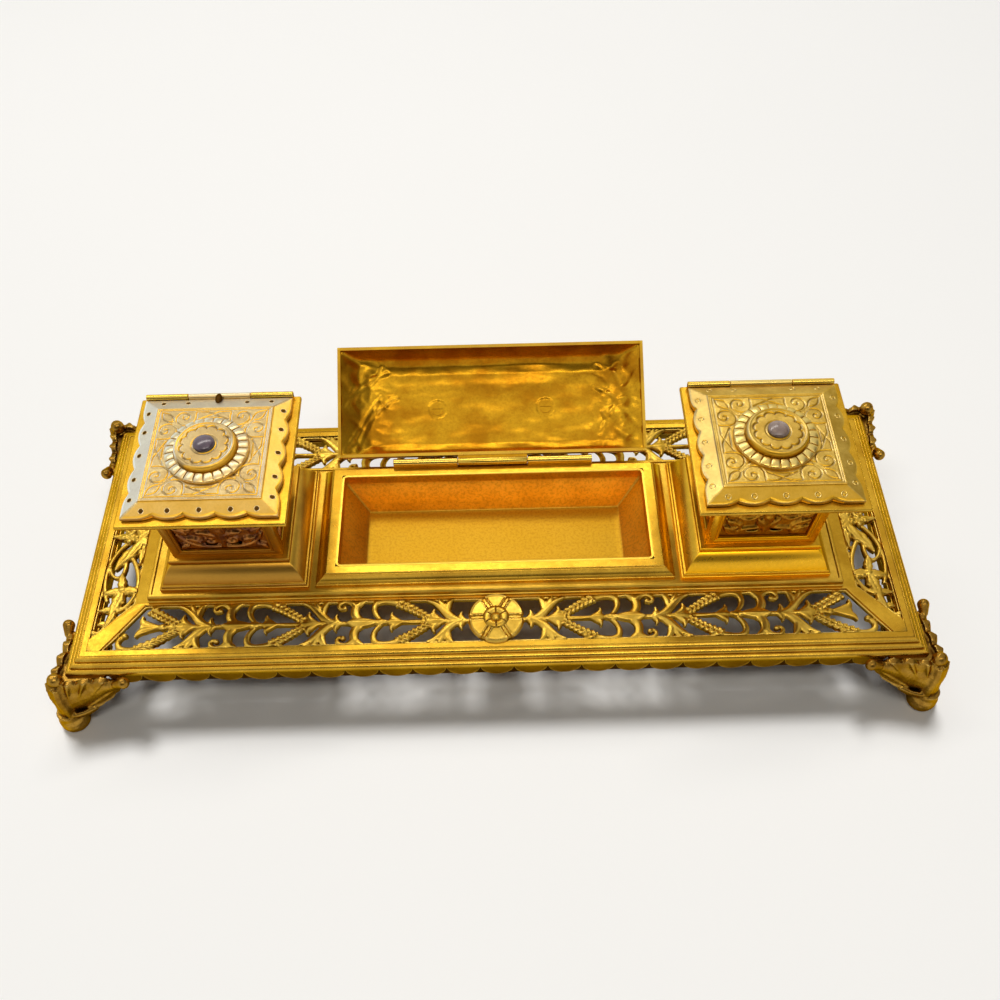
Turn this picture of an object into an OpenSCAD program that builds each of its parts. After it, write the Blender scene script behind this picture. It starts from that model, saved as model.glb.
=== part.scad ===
// Desk inkstand in gilt brass: a pierced base on four leaf feet, two square inkwells with
// hinged lids and glass liners, and a sunk pen tray under a hinged lid that stands open.
// X runs along the length, +Y to the back, +Z up. The origin is on the table, under the middle.

/* [Base] */
// Length of the base over its rim
base_l = 330; // [310:1:350]
// Depth of the base over its rim
base_d = 122; // [118:1:130]
// Height of the rim's underside above the table
base_lift = 26; // [24:0.5:30]
// Height of the rim's reeded moulding
rim_h = 5.4; // [4.5:0.1:7]
// Width of the rim's reeded moulding
rim_border = 8.4; // [8:0.1:9]
// Thickness of the web that carries the platform
web_t = 2.4; // [2.2:0.1:3]
// Thickness of the pierced panels
grille_t = 2; // [1.6:0.1:2.2]
// Width of one scallop of the apron under the rim
scallop_w = 13.2; // [10:0.1:16]
// Height of the apron under the rim
apron_h = 7.5; // [6:0.1:8]
// Thickness of the apron's back strip
apron_t = 1; // [0.8:0.1:1.4]
// Set-back of the apron behind the rim's face
apron_set = 1; // [0.5:0.1:1.6]
// Lap of a rosette over the borders of its pierced panel
rosette_lap = 0.4; // [0.2:0.1:0.4]

/* [Platform] */
// Width of the pierced strip between the rim's border and the platform's ends
side_strip = 20.2; // [17.6:0.2:21.6]
// Width of the pierced strip in front of the platform and behind it
front_strip = 20.4; // [19.6:0.2:21]
// Height of the platform's floor above the web
platform_h = 3.2; // [2.5:0.1:4]
// Height of the bead round the platform's edge
bead_h = 0.6; // [0.4:0.1:1.2]
// Width of the bead round the platform's edge
bead_w = 2.2; // [1.5:0.1:2.4]

/* [Inkwells] */
// Side of a well's plinth
plinth_w = 58; // [57:0.2:60]
// Clear strip between a plinth and the platform's end
plinth_margin = 5.6; // [4:0.1:7]
// Height of a well's plinth
plinth_h = 12; // [11:0.1:14]
// Wall of the hollow plinth
plinth_wall = 2.6; // [2:0.1:3.2]
// Side of the slab on top of the plinth
slab_w = 46.2; // [44.5:0.2:50]
// Side of a well's body
well_w = 42; // [41.6:0.2:44]
// Height of a well's body
well_h = 28.6; // [28:0.2:34]
// Wall of a well's body
well_wall = 2.4; // [2:0.1:2.6]
// Border round each relief panel
relief_border = 4.2; // [3.6:0.1:5]
// Thickness of a relief panel
relief_t = 1.2; // [0.8:0.1:1.6]
// Side of the collar plate over the body
collar_w = 60.2; // [59.6:0.2:62]
// Thickness of the collar plate
collar_t = 2.2; // [1.8:0.1:3]
// Side of a well's lid over its scallops
lid_w = 55; // [54:0.2:55.4]
// Thickness of the lid's scalloped edge
lid_edge_t = 1.5; // [1.2:0.1:1.9]
// Rise of the lid's bevel above its edge
lid_bevel_h = 2.1; // [1.6:0.1:2.6]
// Depth of the hollow under the lid
lid_hollow = 2; // [1.6:0.1:2.4]
// Side of the lid's raised panel
panel_w = 43; // [41:0.2:44]
// Radius of the toothed ring on a lid
ring_r = 15.1; // [13.5:0.1:16]
// Radius of the raised disc inside the ring
disc_r = 11.2; // [10:0.1:11.4]
// Radius of the stone
stone_r = 3.9; // [3:0.1:4.2]

/* [Glass liners] */
// Outer radius of a liner
liner_r = 16.5; // [15:0.1:17]
// Wall of a liner
liner_wall = 2.2; // [1.6:0.1:2.6]
// Depth of a liner below its flange
liner_depth = 26; // [20:0.5:26.5]
// Overhang of a liner's flange
flange_w = 3; // [2:0.1:3.6]

/* [Pen tray] */
// Clear strip between the tray's frame and the plinths
frame_gap = 2.5; // [2:0.1:4]
// Strip of the platform left bare in front of the tray's frame, and behind it
frame_margin = 3.9; // [3.5:0.1:4.2]
// Height of the tray's frame above the platform
frame_h = 5.6; // [5.2:0.1:6]
// Width of the frame's moulding at its ends
frame_slope_x = 5.3; // [4.8:0.1:5.6]
// Width of the frame's moulding at its front and back
frame_slope_y = 2.9; // [2.6:0.1:3.2]
// Width of the frame's flat rim
frame_flat = 3.8; // [3.6:0.1:4]
// Depth of the tray below the rim
tray_depth = 16; // [14:0.2:18]
// Thickness of the tray's sheet
tray_t = 0.9; // [0.8:0.1:1]
// How far the tray's ends lean in
tray_lean_x = 8.6; // [6:0.1:10]
// How far the tray's sides lean in
tray_lean_y = 5.8; // [4:0.1:7]

/* [Tray lid] */
// Height of the lid's hollow shell
shell_h = 12.4; // [11.5:0.1:13]
// Thickness of the lid's shell
shell_t = 1.3; // [1.1:0.1:1.5]
// Strip of the frame's flat rim left bare at the lid's ends
lid_margin = 1.3; // [1:0.1:1.8]
// Lap of the shut lid over the tray's front edge
lid_lap = 0.5; // [0.4:0.1:0.9]
// How far the tray's lid stands open
box_lid_open = 157; // [150:1:158]
// Distance between the two screws that hold the lid's plaque
plaque_screws = 46; // [42:0.5:50]
// Length of the plaque on the lid
plaque_l = 62; // [56:1:70]
// Width of the plaque on the lid
plaque_w = 24; // [22:0.5:26]
// Thickness of the plaque
plaque_t = 1.8; // [1.4:0.1:2]

/* [Hinges] */
// Radius of the tray hinge's knuckles
box_knuckle_r = 1.6; // [1.4:0.05:1.8]
// Radius of the tray hinge's pin
box_pin_r = 0.8; // [0.6:0.05:0.9]
// Half the length of the tray hinge
box_hinge_half = 41; // [36:0.5:46]
// Half the length of the tray hinge's middle knuckle
box_middle_half = 14.3; // [10:0.1:18]
// Radius of a well hinge's knuckles
well_knuckle_r = 1.25; // [1.1:0.05:1.35]
// Radius of a well hinge's pin
well_pin_r = 0.6; // [0.5:0.05:0.7]
// Half the length of a well hinge's middle knuckle
well_middle_half = 11.6; // [9:0.1:14]

/* [Feet] */
// How far the middle of a foot's toe stands out from the rim's corner
toe_out = 6.1; // [5:0.1:7]
// Radius of a foot's toe
pad_r = 6; // [5:0.1:6.6]
// Length of a foot's wings
wing_l = 25; // [20:0.5:28]
// Radius of the balls on a foot
ball_r = 2.3; // [2:0.1:2.4]

/* [Fits] */
// Radial clearance of a pin in its knuckles
pin_clear = 0.05; // [0.03:0.01:0.08]
// Gap between two knuckles
knuckle_gap = 0.2; // [0.15:0.05:0.4]
// Gap under a closed lid
lid_gap = 0.2; // [0.15:0.05:0.3]
// Clearance of a screw or a liner in its hole
hole_clear = 0.2; // [0.1:0.05:0.3]

/* [Hidden] */
SIDES = ["left", "right"];
WELL_PIECES = [
    "plinth", "body", "relief_front", "relief_back", "relief_inner", "relief_outer", "collar",
    "liner", "hinge_pin", "lid", "lid_ring", "lid_disc", "lid_stone", "fixing_screw"
];

GILT = [0.83, 0.64, 0.2];
PALE_GILT = [0.86, 0.71, 0.32];
DARK_GILT = [0.55, 0.38, 0.15];
ORANGE_GILT = [0.87, 0.58, 0.14];
STEEL = [0.62, 0.6, 0.56];
GLASS = [0.8, 0.88, 0.86];
STONE = [0.42, 0.32, 0.33];
round_fn = 48;
// How far a cut runs past what it cuts
past = 1;

// Moulding outlines: each point is [share of the width, share of the height]
FRAME_MOULDING = [[0, 0], [0, 0.2], [0.12, 0.25], [0.2, 0.36], [0.34, 0.42], [0.46, 0.52], [0.6, 0.68],
    [0.7, 0.84], [0.86, 0.9], [1, 1]];
EDGE_MOULDING = [[0, 0], [0, 0.3], [0.2, 0.42], [0.2, 0.8], [0.45, 1], [1, 1]];
PLINTH_MOULDING = [[0, 0], [0, 0.16], [0.1, 0.2], [0.1, 0.27], [0.24, 0.29], [0.34, 0.5], [0.52, 0.7],
    [0.76, 0.86], [1, 0.95], [1, 1]];
COLLAR_MOULDING = [[1, 0], [0, 0.3], [0, 0.8], [0.3, 1]];
PLAQUE_MOULDING = [[0, 0], [0, 0.4], [1, 1]];
SHELL_END = [[0, 0], [0.16, 0.28], [0.35, 0.62], [0.55, 0.84], [0.78, 0.97], [1, 1]];
SHELL_SIDE = [[0, 0], [0.06, 0.26], [0.16, 0.52], [0.34, 0.76], [0.62, 0.94], [1, 1]];

// The platform inside its pierced strips
platform_l = base_l - 2 * (rim_border + side_strip);
platform_d = base_d - 2 * (rim_border + front_strip);

// Levels, from the table up
web_top = base_lift + rim_h;
web_bottom = web_top - web_t;
floor_z = web_top + platform_h;
slab_h = 2;
plinth_top = floor_z + plinth_h;
collar_bottom = plinth_top + well_h;
collar_top = collar_bottom + collar_t;
lid_bottom = collar_top + lid_gap;
edge_top = lid_bottom + lid_edge_t;
panel_z = edge_top + lid_bevel_h;
frame_top = floor_z + frame_h;
tray_floor = frame_top - tray_depth;

// Openings of the base: trapezia between the rim and the platform, with mitre bars between them
mitre_bar = 4.9;
web_ledge = 4;
open_y = base_d / 2 - rim_border;
open_x = base_l / 2 - rim_border;
front_outer_x = open_x - mitre_bar;
front_inner_x = platform_l / 2 + 1.2;
front_inner_y = platform_d / 2 + 0.5;
side_outer_y = open_y - mitre_bar;
side_inner_x = platform_l / 2 + 5.3;
side_inner_y = platform_d / 2 - 0.5;
reach = (open_y - front_inner_y) / 2;
front_y = (open_y + front_inner_y) / 2;
lattice_z = web_top - 0.2 - grille_t;
rosette_r = reach + rosette_lap;

// Places of the wells and the tray
well_x = platform_l / 2 - plinth_margin - plinth_w / 2;
frame_l = 2 * (well_x - plinth_w / 2 - frame_gap);
frame_d = platform_d - 2 * frame_margin;
rim_l = frame_l - 2 * frame_slope_x;
rim_d = frame_d - 2 * frame_slope_y;
tray_l = rim_l - 2 * frame_flat;
tray_d = rim_d - 2 * frame_flat;

// The well's hinge axis, behind its lid
well_hinge_y = lid_w / 2 + well_knuckle_r + 0.4;
well_hinge_z = collar_top + well_knuckle_r + lid_gap;

// The tray's hinge axis, behind the frame's flat rim, and the lid's outline when shut
box_hinge_y = rim_d / 2 + box_knuckle_r + 0.2;
box_hinge_z = frame_top + box_knuckle_r;
shell_lip = 1.2;
shell_z = frame_top + lid_gap;
shell_l = rim_l - 2 * lid_margin;
shell_back = box_hinge_y - box_knuckle_r - 0.7;
shell_front = -tray_d / 2 - lid_lap;
shell_d = shell_back - shell_front;
shell_y = (shell_back + shell_front) / 2;
shell_top = shell_z + shell_h;

// ---------------------------------------------------------------- shared shapes

// A moulding w wide and h high that rises inwards from height z, as points [inset, height]
function outline(shape, w, h, z) = [for (p = shape) [p[0] * w, z + p[1] * h]];

// Quarter-round reeds side by side, each with a narrow flat before the next
function reeds(count, w, h, z) = [
    for (i = [0:count - 1], a = [0:30:90])
        [(i + 0.8 * (1 - cos(a))) * w / count, z + (i + sin(a)) * h / count]
];

// Both halves of an outline round a piece of the given length
function both_sides(points, size) = concat(
    [for (p = points) [size / 2 - p[0], p[1]]],
    [for (i = [len(points) - 1:-1:0]) [points[i][0] - size / 2, points[i][1]]]
);

// A solid with mitred mouldings all round
module moulded(l, d, ends, sides) {
    intersection() {
        rotate([90, 0, 0])
            linear_extrude(d + past, center = true)
                polygon(both_sides(ends, l));
        rotate([90, 0, 90])
            linear_extrude(l + past, center = true)
                polygon(both_sides(sides, d));
    }
}

module block(x0, x1, y0, y1, z0, z1) {
    translate([x0, y0, z0])
        cube([x1 - x0, y1 - y0, z1 - z0]);
}

module centred_block(l, d, z0, z1) {
    block(-l / 2, l / 2, -d / 2, d / 2, z0, z1);
}

module bar_x(x0, x1, y, z, r) {
    translate([x0, y, z])
        rotate([0, 90, 0])
            cylinder(h = x1 - x0, r = r, $fn = round_fn);
}

module post(r, z0, z1) {
    translate([0, 0, z0])
        cylinder(h = z1 - z0, r = r, $fn = round_fn);
}

// A slotted screw with its head at the bottom, under height z
module slotted_screw(shank_r, shank_l, head_r, head_h, z) {
    post(shank_r, z, z + shank_l);
    difference() {
        post(head_r, z - head_h, z);
        translate([0, 0, z - head_h])
            cube([3 * head_r, head_r / 4, head_h], center = true);
    }
}

// Cubic curves: a point and a direction along one, from its four control points
function curve_at(p, t) = let (u = 1 - t)
    u * u * u * p[0] + 3 * u * u * t * p[1] + 3 * u * t * t * p[2] + t * t * t * p[3];
function curve_way(p, t) = let (u = 1 - t)
    u * u * (p[1] - p[0]) + 2 * u * t * (p[2] - p[1]) + t * t * (p[3] - p[2]);
function side_step(way, w) = [-way[1], way[0]] * w / norm(way) / 2;

// A strip along a curve, from width w0 to width w1
module ribbon(p, w0, w1) {
    steps = 6;
    ts = [for (i = [0:steps]) i / steps];
    polygon(concat(
        [for (t = ts) curve_at(p, t) + side_step(curve_way(p, t), w0 + (w1 - w0) * t)],
        [for (i = [steps:-1:0]) curve_at(p, ts[i]) - side_step(curve_way(p, ts[i]), w0 + (w1 - w0) * ts[i])]
    ));
}

// A pointed leaf from one place to another
module leaf(from, to, wide) {
    way = to - from;
    side = side_step(way, wide);
    shares = [0, 0.2, 0.45, 0.7, 1];
    swell = [0.1, 0.75, 1, 0.7, 0];
    polygon(concat(
        [for (i = [0:4]) from + way * shares[i] + side * swell[i]],
        [for (i = [3:-1:0]) from + way * shares[i] - side * swell[i]]
    ));
}

// ---------------------------------------------------------------- base

module front_opening() {
    polygon([[-front_outer_x, -open_y], [front_outer_x, -open_y], [front_inner_x, -front_inner_y],
        [-front_inner_x, -front_inner_y]]);
}

module right_opening() {
    polygon([[open_x, -side_outer_y], [open_x, side_outer_y], [side_inner_x, side_inner_y],
        [side_inner_x, -side_inner_y]]);
}

module base_frame() {
    rim_edge = 1;
    reed_w = 6;
    rim = concat([[0, base_lift]], reeds(3, reed_w, rim_h - rim_edge, base_lift + rim_edge),
        [[rim_border, web_top]]);
    hollow_l = base_l - 2 * rim_border - 3;
    hollow_d = base_d - 2 * rim_border - 3;
    color(GILT)
        difference() {
            moulded(base_l, base_d, rim, rim);
            centred_block(hollow_l, hollow_d, base_lift - past, web_bottom);
            translate([0, 0, web_bottom - past])
                linear_extrude(web_t + 2 * past) {
                    front_opening();
                    mirror([0, 1])
                        front_opening();
                    right_opening();
                    mirror([1, 0])
                        right_opening();
                    square([frame_l, platform_d - 2 * web_ledge], center = true);
                }
            foot_screw_places()
                post(foot_screw_r + hole_clear / 2, base_lift - past, foot_screw_top + hole_clear);
            for (x = [-well_x, well_x])
                translate([x, 0, 0])
                    post(well_screw_r + hole_clear / 2, web_bottom - past, web_top + past);
        }
}

// A wall under the rim, drawn along X with its outer face at -Y: a strip behind a row of scallops
module apron(l) {
    count = round(l / scallop_w);
    pitch = l / count;
    scallop_r = 0.515 * pitch;
    strip_h = apron_h - 0.8;
    color(DARK_GILT)
        rotate([90, 0, 0]) {
            linear_extrude(apron_t)
                translate([-l / 2, -strip_h])
                    square([l, strip_h]);
            linear_extrude(apron_t + apron_relief)
                intersection() {
                    for (i = [0:count - 1])
                        translate([(i + 0.5) * pitch - l / 2, 0])
                            scale([1, apron_h / scallop_r])
                                circle(r = scallop_r, $fn = round_fn);
                    translate([-l / 2, -apron_h])
                        square([l, apron_h]);
                }
        }
}

lug = 14.5;
apron_relief = 0.8;
apron_in = apron_set + apron_t + apron_relief;

module apron_front() {
    translate([0, apron_in - base_d / 2, base_lift])
        apron(base_l - 2 * lug - 1);
}

module apron_back() {
    mirror([0, 1, 0])
        apron_front();
}

module apron_right() {
    translate([base_l / 2 - apron_in, 0, base_lift])
        rotate([0, 0, 90])
            apron(base_d - 2 * lug - 1);
}

module apron_left() {
    mirror([1, 0, 0])
        apron_right();
}

// ---------------------------------------------------------------- pierced panels

lip = 1;
stem_w = 1.3;
first_unit = rosette_r + 1.8;
unit_l = ((front_outer_x + front_inner_x) / 2 - first_unit) / 2.725;

// A place in one repeat of the arabesque: s along it, t from its stem to the border
function spot(s, t) = [s * unit_l, t * reach];

module mirrored_up() {
    children();
    mirror([0, 1])
        children();
}

// A shape on the stem, from the points of its upper half
module on_stem(half) {
    polygon(concat(half, [for (i = [len(half) - 1:-1:0]) [half[i][0], -half[i][1]]]));
}

// The first part of every repeat: leaflets, a forked scroll and a lily
module scroll_and_lily() {
    mirrored_up() {
        leaf(spot(0.03, 0.03), spot(-0.01, 0.26), 1.7);
        ribbon([spot(0.05, 0.02), spot(0.17, 0.1), spot(0.15, 0.55), spot(0.13, 0.98)], 1.3, 2.4);
        leaf(spot(0.1, 0.9), spot(0.29, 0.82), 2.4);
    }
    on_stem([spot(0.1, 0.05), spot(0.17, 0.12), spot(0.21, 0.24), spot(0.25, 0.42), spot(0.26, 0.25),
        spot(0.29, 0.14), spot(0.33, 0.04)]);
}

// The rest of a repeat: chains of husks that hook back to a collar, a bellflower, a bud and a scroll
module husks_and_bud() {
    mirrored_up() {
        ribbon([spot(0.26, 0.12), spot(0.38, 0.34), spot(0.48, 0.58), spot(0.58, 0.82)], 2, 2.6);
        ribbon([spot(0.56, 0.8), spot(0.74, 1.1), spot(0.75, 0.45), spot(0.68, 0.06)], 2, 1.3);
        ribbon([spot(0.74, 0.06), spot(0.76, 0.62), spot(0.82, 1.02), spot(0.95, 0.92)], 2.2, 1.4);
        ribbon([spot(0.94, 0.92), spot(1, 0.82), spot(0.98, 0.6), spot(0.92, 0.64)], 1.3, 1);
        leaf(spot(0.77, 0.42), spot(0.88, 0.5), 1.8);
    }
    on_stem([spot(0.44, 0.05), spot(0.5, 0.12), spot(0.54, 0.22), spot(0.575, 0.38), spot(0.585, 0.2),
        spot(0.62, 0.05)]);
    translate(spot(0.675, 0))
        circle(r = 1.5, $fn = 24);
    on_stem([spot(0.7, 0.08), spot(0.78, 0.15), spot(0.84, 0.26), spot(0.87, 0.14), spot(0.92, 0.04)]);
}

// The end of the run: a trumpet flower, and husks into the corners
module trumpet_end() {
    on_stem([spot(0.28, 0.04), spot(0.42, 0.07), spot(0.52, 0.15), spot(0.6, 0.34), spot(0.58, 0.08)]);
    ribbon([spot(0.26, 0.12), spot(0.36, 0.32), spot(0.45, 0.52), spot(0.54, 0.78)], 2, 2.6);
    leaf(spot(0.5, 0.74), spot(0.6, 0.98), 2.6);
    ribbon([spot(0.26, -0.12), spot(0.38, -0.4), spot(0.5, -0.72), spot(0.62, -0.96)], 2, 2.6);
    ribbon([spot(0.6, -0.95), spot(0.76, -1.12), spot(0.77, -0.5), spot(0.66, -0.44)], 2, 1.2);
}

module arabesque() {
    for (i = [0:2])
        translate([first_unit + i * unit_l, 0]) {
            scroll_and_lily();
            if (i < 2) husks_and_bud(); else trumpet_end();
        }
}

module grille_front() {
    stem_half = first_unit + 2.33 * unit_l;
    color(PALE_GILT) {
        block(-stem_half, stem_half, -front_y - stem_w / 2, -front_y + stem_w / 2, lattice_z,
            lattice_z + grille_t);
        translate([0, 0, lattice_z])
            linear_extrude(grille_t) {
                difference() {
                    front_opening();
                    polygon([[-front_outer_x + 2.4 * lip, -open_y + lip],
                        [front_outer_x - 2.4 * lip, -open_y + lip],
                        [front_inner_x - 1.6 * lip, -front_inner_y - lip],
                        [-front_inner_x + 1.6 * lip, -front_inner_y - lip]]);
                }
                intersection() {
                    front_opening();
                    translate([0, -front_y]) {
                        arabesque();
                        mirror([1, 0])
                            arabesque();
                        circle(r = rosette_r + 0.6, $fn = round_fn);
                    }
                }
            }
    }
}

module grille_back() {
    mirror([0, 1, 0])
        grille_front();
}

// A place on an end panel: u across it from the platform, v from its middle to the inner corner
function end_spot(u, v) = [side_inner_x + u * (open_x - side_inner_x), v * side_inner_y];

// Half of the vine on an end panel
module vine() {
    leaf(end_spot(0.1, -0.05), end_spot(1.1, 0.04), 4);
    leaf(end_spot(-0.05, 0.14), end_spot(0.3, -0.1), 4.4);
    leaf(end_spot(0.15, 0), end_spot(0.5, 0.36), 5);
    leaf(end_spot(0.3, 0.12), end_spot(0.72, 0.5), 5);
    ribbon([end_spot(0.5, 0.04), end_spot(0.95, 0.25), end_spot(1.1, 0.6), end_spot(0.78, 0.96)], 1.3, 1.3);
    ribbon([end_spot(0.36, 0.3), end_spot(-0.08, 0.6), end_spot(-0.06, 0.98), end_spot(0.45, 1.1)], 1.5, 1.2);
    ribbon([end_spot(0.5, 0.36), end_spot(0.4, 0.68), end_spot(0.8, 0.66), end_spot(0.9, 0.44)], 1.2, 1.2);
    translate(end_spot(0.42, 0.8))
        circle(r = 2, $fn = 32);
    leaf(end_spot(0.42, 0.8), end_spot(0, 0.82), 3.4);
    leaf(end_spot(0.42, 0.8), end_spot(0.52, 0.56), 3);
    leaf(end_spot(0.42, 0.8), end_spot(0.86, 0.84), 3.4);
    leaf(end_spot(0.42, 0.8), end_spot(0.58, 1.16), 4.4);
    leaf(end_spot(0.4, 1.06), end_spot(0.9, 1.1), 2.6);
    ribbon([end_spot(0.6, 1.08), end_spot(0.66, 1.3), end_spot(0.7, 1.44), end_spot(0.96, 1.4)], 1.6, 1.2);
    leaf(end_spot(0.68, 1.28), end_spot(0.86, 1.3), 2);
}

module grille_right() {
    color(PALE_GILT)
        translate([0, 0, lattice_z])
            linear_extrude(grille_t) {
                difference() {
                    right_opening();
                    polygon([[open_x - lip, -side_outer_y + 2.4 * lip],
                        [open_x - lip, side_outer_y - 2.4 * lip],
                        [side_inner_x + lip, side_inner_y - 1.6 * lip],
                        [side_inner_x + lip, -side_inner_y + 1.6 * lip]]);
                }
                intersection() {
                    right_opening();
                    mirrored_up()
                        vine();
                }
            }
}

module grille_left() {
    mirror([1, 0, 0])
        grille_right();
}

// A six-petalled flower on a flange that lies on the panel's borders
module rosette_front() {
    flange = 0.6;
    petal_h = 0.9;
    z0 = web_top;
    color(GILT)
        translate([0, -front_y, 0]) {
            post(reach - 0.5, lattice_z + grille_t, z0);
            post(rosette_r, z0, z0 + flange);
            translate([0, 0, z0 + flange])
                linear_extrude(petal_h)
                    for (a = [0:60:300])
                        rotate(a)
                            leaf([rosette_r * 0.2, 0], [rosette_r, 0], rosette_r * 0.86);
            post(rosette_r * 0.46, z0 + flange, z0 + flange + petal_h + 0.5);
            post(rosette_r * 0.16, z0 + flange, z0 + flange + petal_h + 1.1);
        }
}

module rosette_back() {
    mirror([0, 1, 0])
        rosette_front();
}

// ---------------------------------------------------------------- feet

foot_screw_r = 1.2;
foot_screw_in = 9;
foot_screw_l = 5;
foot_head_r = 2.3;
foot_head_h = 1.3;
lug_t = 2.2;
foot_screw_top = base_lift - lug_t + foot_screw_l;

module foot_screw_places() {
    for (x = [-1, 1], y = [-1, 1])
        translate([x * (base_l / 2 - foot_screw_in), y * (base_d / 2 - foot_screw_in), 0])
            children();
}

module ball(place, r) {
    translate(place)
        sphere(r = r, $fn = 24);
}

crown_r = 2.6;
knee_r = 5.4;
lip_r = 1.7;
hem_r = 2.4;
crown_out = 3;
knee_past_toe = 0.4;
hem_out = 3.4;
toe_h = 5;

// One wing of a foot: from the crown and the knee to the far lip and the hem
module wing(crown, knee, lip, hem) {
    hull() {
        ball(crown, crown_r);
        ball(knee, knee_r);
        ball(lip, lip_r);
        ball(hem, hem_r);
    }
}

// The foot at the front right corner: two leaf wings and a stout toe, with a lug under the rim
module foot() {
    cx = base_l / 2;
    cy = -base_d / 2;
    lip_z = base_lift + 1;
    hem_z = base_lift * 0.36;
    hem_along = wing_l * 0.24;
    lip_out = lip_r + 0.9;
    knee_out = toe_out + knee_past_toe;
    crown = [cx + crown_out, cy - crown_out, base_lift + 0.6];
    knee = [cx + knee_out, cy - knee_out, base_lift * 0.56];
    along_x = [cx - wing_l + ball_r, cy - lip_out, lip_z];
    along_y = [cx + lip_out, cy + wing_l - ball_r, lip_z];
    difference() {
        union() {
            wing(crown, knee, along_x, [cx - hem_along, cy - hem_out, hem_z]);
            wing(crown, knee, along_y, [cx + hem_out, cy + hem_along, hem_z]);
            hull() {
                ball(knee, knee_r);
                translate([cx + toe_out, cy - toe_out, 0])
                    post(pad_r, 0, toe_h);
            }
            block(cx - lug, cx + crown_out, cy - crown_out, cy + lug, base_lift - lug_t, base_lift);
        }
        block(cx - 2 * wing_l, cx, cy, cy + 2 * wing_l, base_lift, 2 * base_lift);
        translate([cx - foot_screw_in, cy + foot_screw_in, 0])
            post(foot_screw_r + hole_clear / 2, base_lift - lug_t - past, base_lift + past);
    }
    ball(crown + [0.7, -0.7, 1.4], ball_r);
    ball(along_x + [0, -0.3, 0], ball_r);
    ball(along_y + [0.3, 0, 0], ball_r);
}

module foot_front_right() {
    color(GILT)
        foot();
}

module foot_front_left() {
    mirror([1, 0, 0])
        foot_front_right();
}

module foot_back_right() {
    mirror([0, 1, 0])
        foot_front_right();
}

module foot_back_left() {
    mirror([1, 0, 0])
        foot_back_right();
}

module foot_screws() {
    color(STEEL)
        foot_screw_places()
            slotted_screw(foot_screw_r, foot_screw_l, foot_head_r, foot_head_h, base_lift - lug_t);
}

// ---------------------------------------------------------------- platform

well_screw_r = 1.8;
well_screw_l = 12;
well_head_r = 3.4;
well_head_h = 1.8;
frame_screw_r = 1;
frame_screw_l = 6.5;
frame_head_r = 1.8;
frame_head_h = 1.1;
tray_room = 0.4;

module platform() {
    edge = outline(EDGE_MOULDING, bead_w, platform_h + bead_h, web_top);
    color(PALE_GILT)
        difference() {
            moulded(platform_l, platform_d, edge, edge);
            centred_block(platform_l - 2 * bead_w, platform_d - 2 * bead_w, floor_z, floor_z + past);
            centred_block(tray_l + 2 * tray_t + tray_room, tray_d + 2 * tray_t + tray_room, web_top - past,
                floor_z + past);
            for (x = [-well_x, well_x])
                translate([x, 0, 0])
                    post(well_screw_r + hole_clear / 2, web_top - past, floor_z + past);
            frame_screw_places()
                post(frame_screw_r + hole_clear / 2, web_top - past, floor_z + past);
        }
}

// ---------------------------------------------------------------- pen tray

module frame_screw_places() {
    for (x = [-1, 1], y = [-1, 1])
        translate([x * (tray_l / 2 + tray_t + 3.4), y * tray_d * 0.4, 0])
            children();
}

module tray_frame() {
    ends = concat(outline(FRAME_MOULDING, frame_slope_x, frame_h, floor_z), [[frame_slope_x + 1, frame_top]]);
    sides = concat(outline(FRAME_MOULDING, frame_slope_y, frame_h, floor_z),
        [[frame_slope_y + 1, frame_top]]);
    inner_end = box_middle_half + knuckle_gap;
    color(GILT)
        difference() {
            union() {
                moulded(frame_l, frame_d, ends, sides);
                for (side = [0, 1])
                    mirror([side, 0, 0]) {
                        bar_x(inner_end, box_hinge_half, box_hinge_y, box_hinge_z, box_knuckle_r);
                        block(inner_end, box_hinge_half, rim_d / 2 + 0.1, box_hinge_y + box_knuckle_r / 2,
                            frame_top - 0.4 * frame_h, box_hinge_z - box_knuckle_r / 2);
                    }
            }
            centred_block(tray_l + 2 * tray_t, tray_d + 2 * tray_t, floor_z - past, frame_top + past);
            bar_x(-frame_l / 2, frame_l / 2, box_hinge_y, box_hinge_z, box_pin_r + pin_clear);
            frame_screw_places()
                post(frame_screw_r + hole_clear / 2, floor_z - past, web_top + frame_screw_l + hole_clear);
        }
}

module tray_frame_screws() {
    color(STEEL)
        frame_screw_places()
            slotted_screw(frame_screw_r, frame_screw_l, frame_head_r, frame_head_h, web_top);
}

// The sheet tray: straight sides at the top, then sides that lean in to the floor
module tray() {
    straight = 4;
    knee = frame_top - straight;
    color(ORANGE_GILT)
        difference() {
            moulded(tray_l + 2 * tray_t, tray_d + 2 * tray_t,
                [[tray_lean_x, tray_floor - tray_t], [0, knee], [0, frame_top]],
                [[tray_lean_y, tray_floor - tray_t], [0, knee], [0, frame_top]]);
            moulded(tray_l, tray_d,
                [[tray_lean_x, tray_floor], [0, knee], [0, frame_top + past]],
                [[tray_lean_y, tray_floor], [0, knee], [0, frame_top + past]]);
        }
}

module tray_hinge_pin() {
    color(GILT)
        bar_x(-box_hinge_half, box_hinge_half, box_hinge_y, box_hinge_z, box_pin_r);
}

// ---------------------------------------------------------------- tray lid, drawn shut and then opened

module opened() {
    translate([0, box_hinge_y, box_hinge_z])
        rotate([-box_lid_open, 0, 0])
            translate([0, -box_hinge_y, -box_hinge_z])
                children();
}

shell_end_w = 20;
shell_side_w = 11.5;

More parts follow.
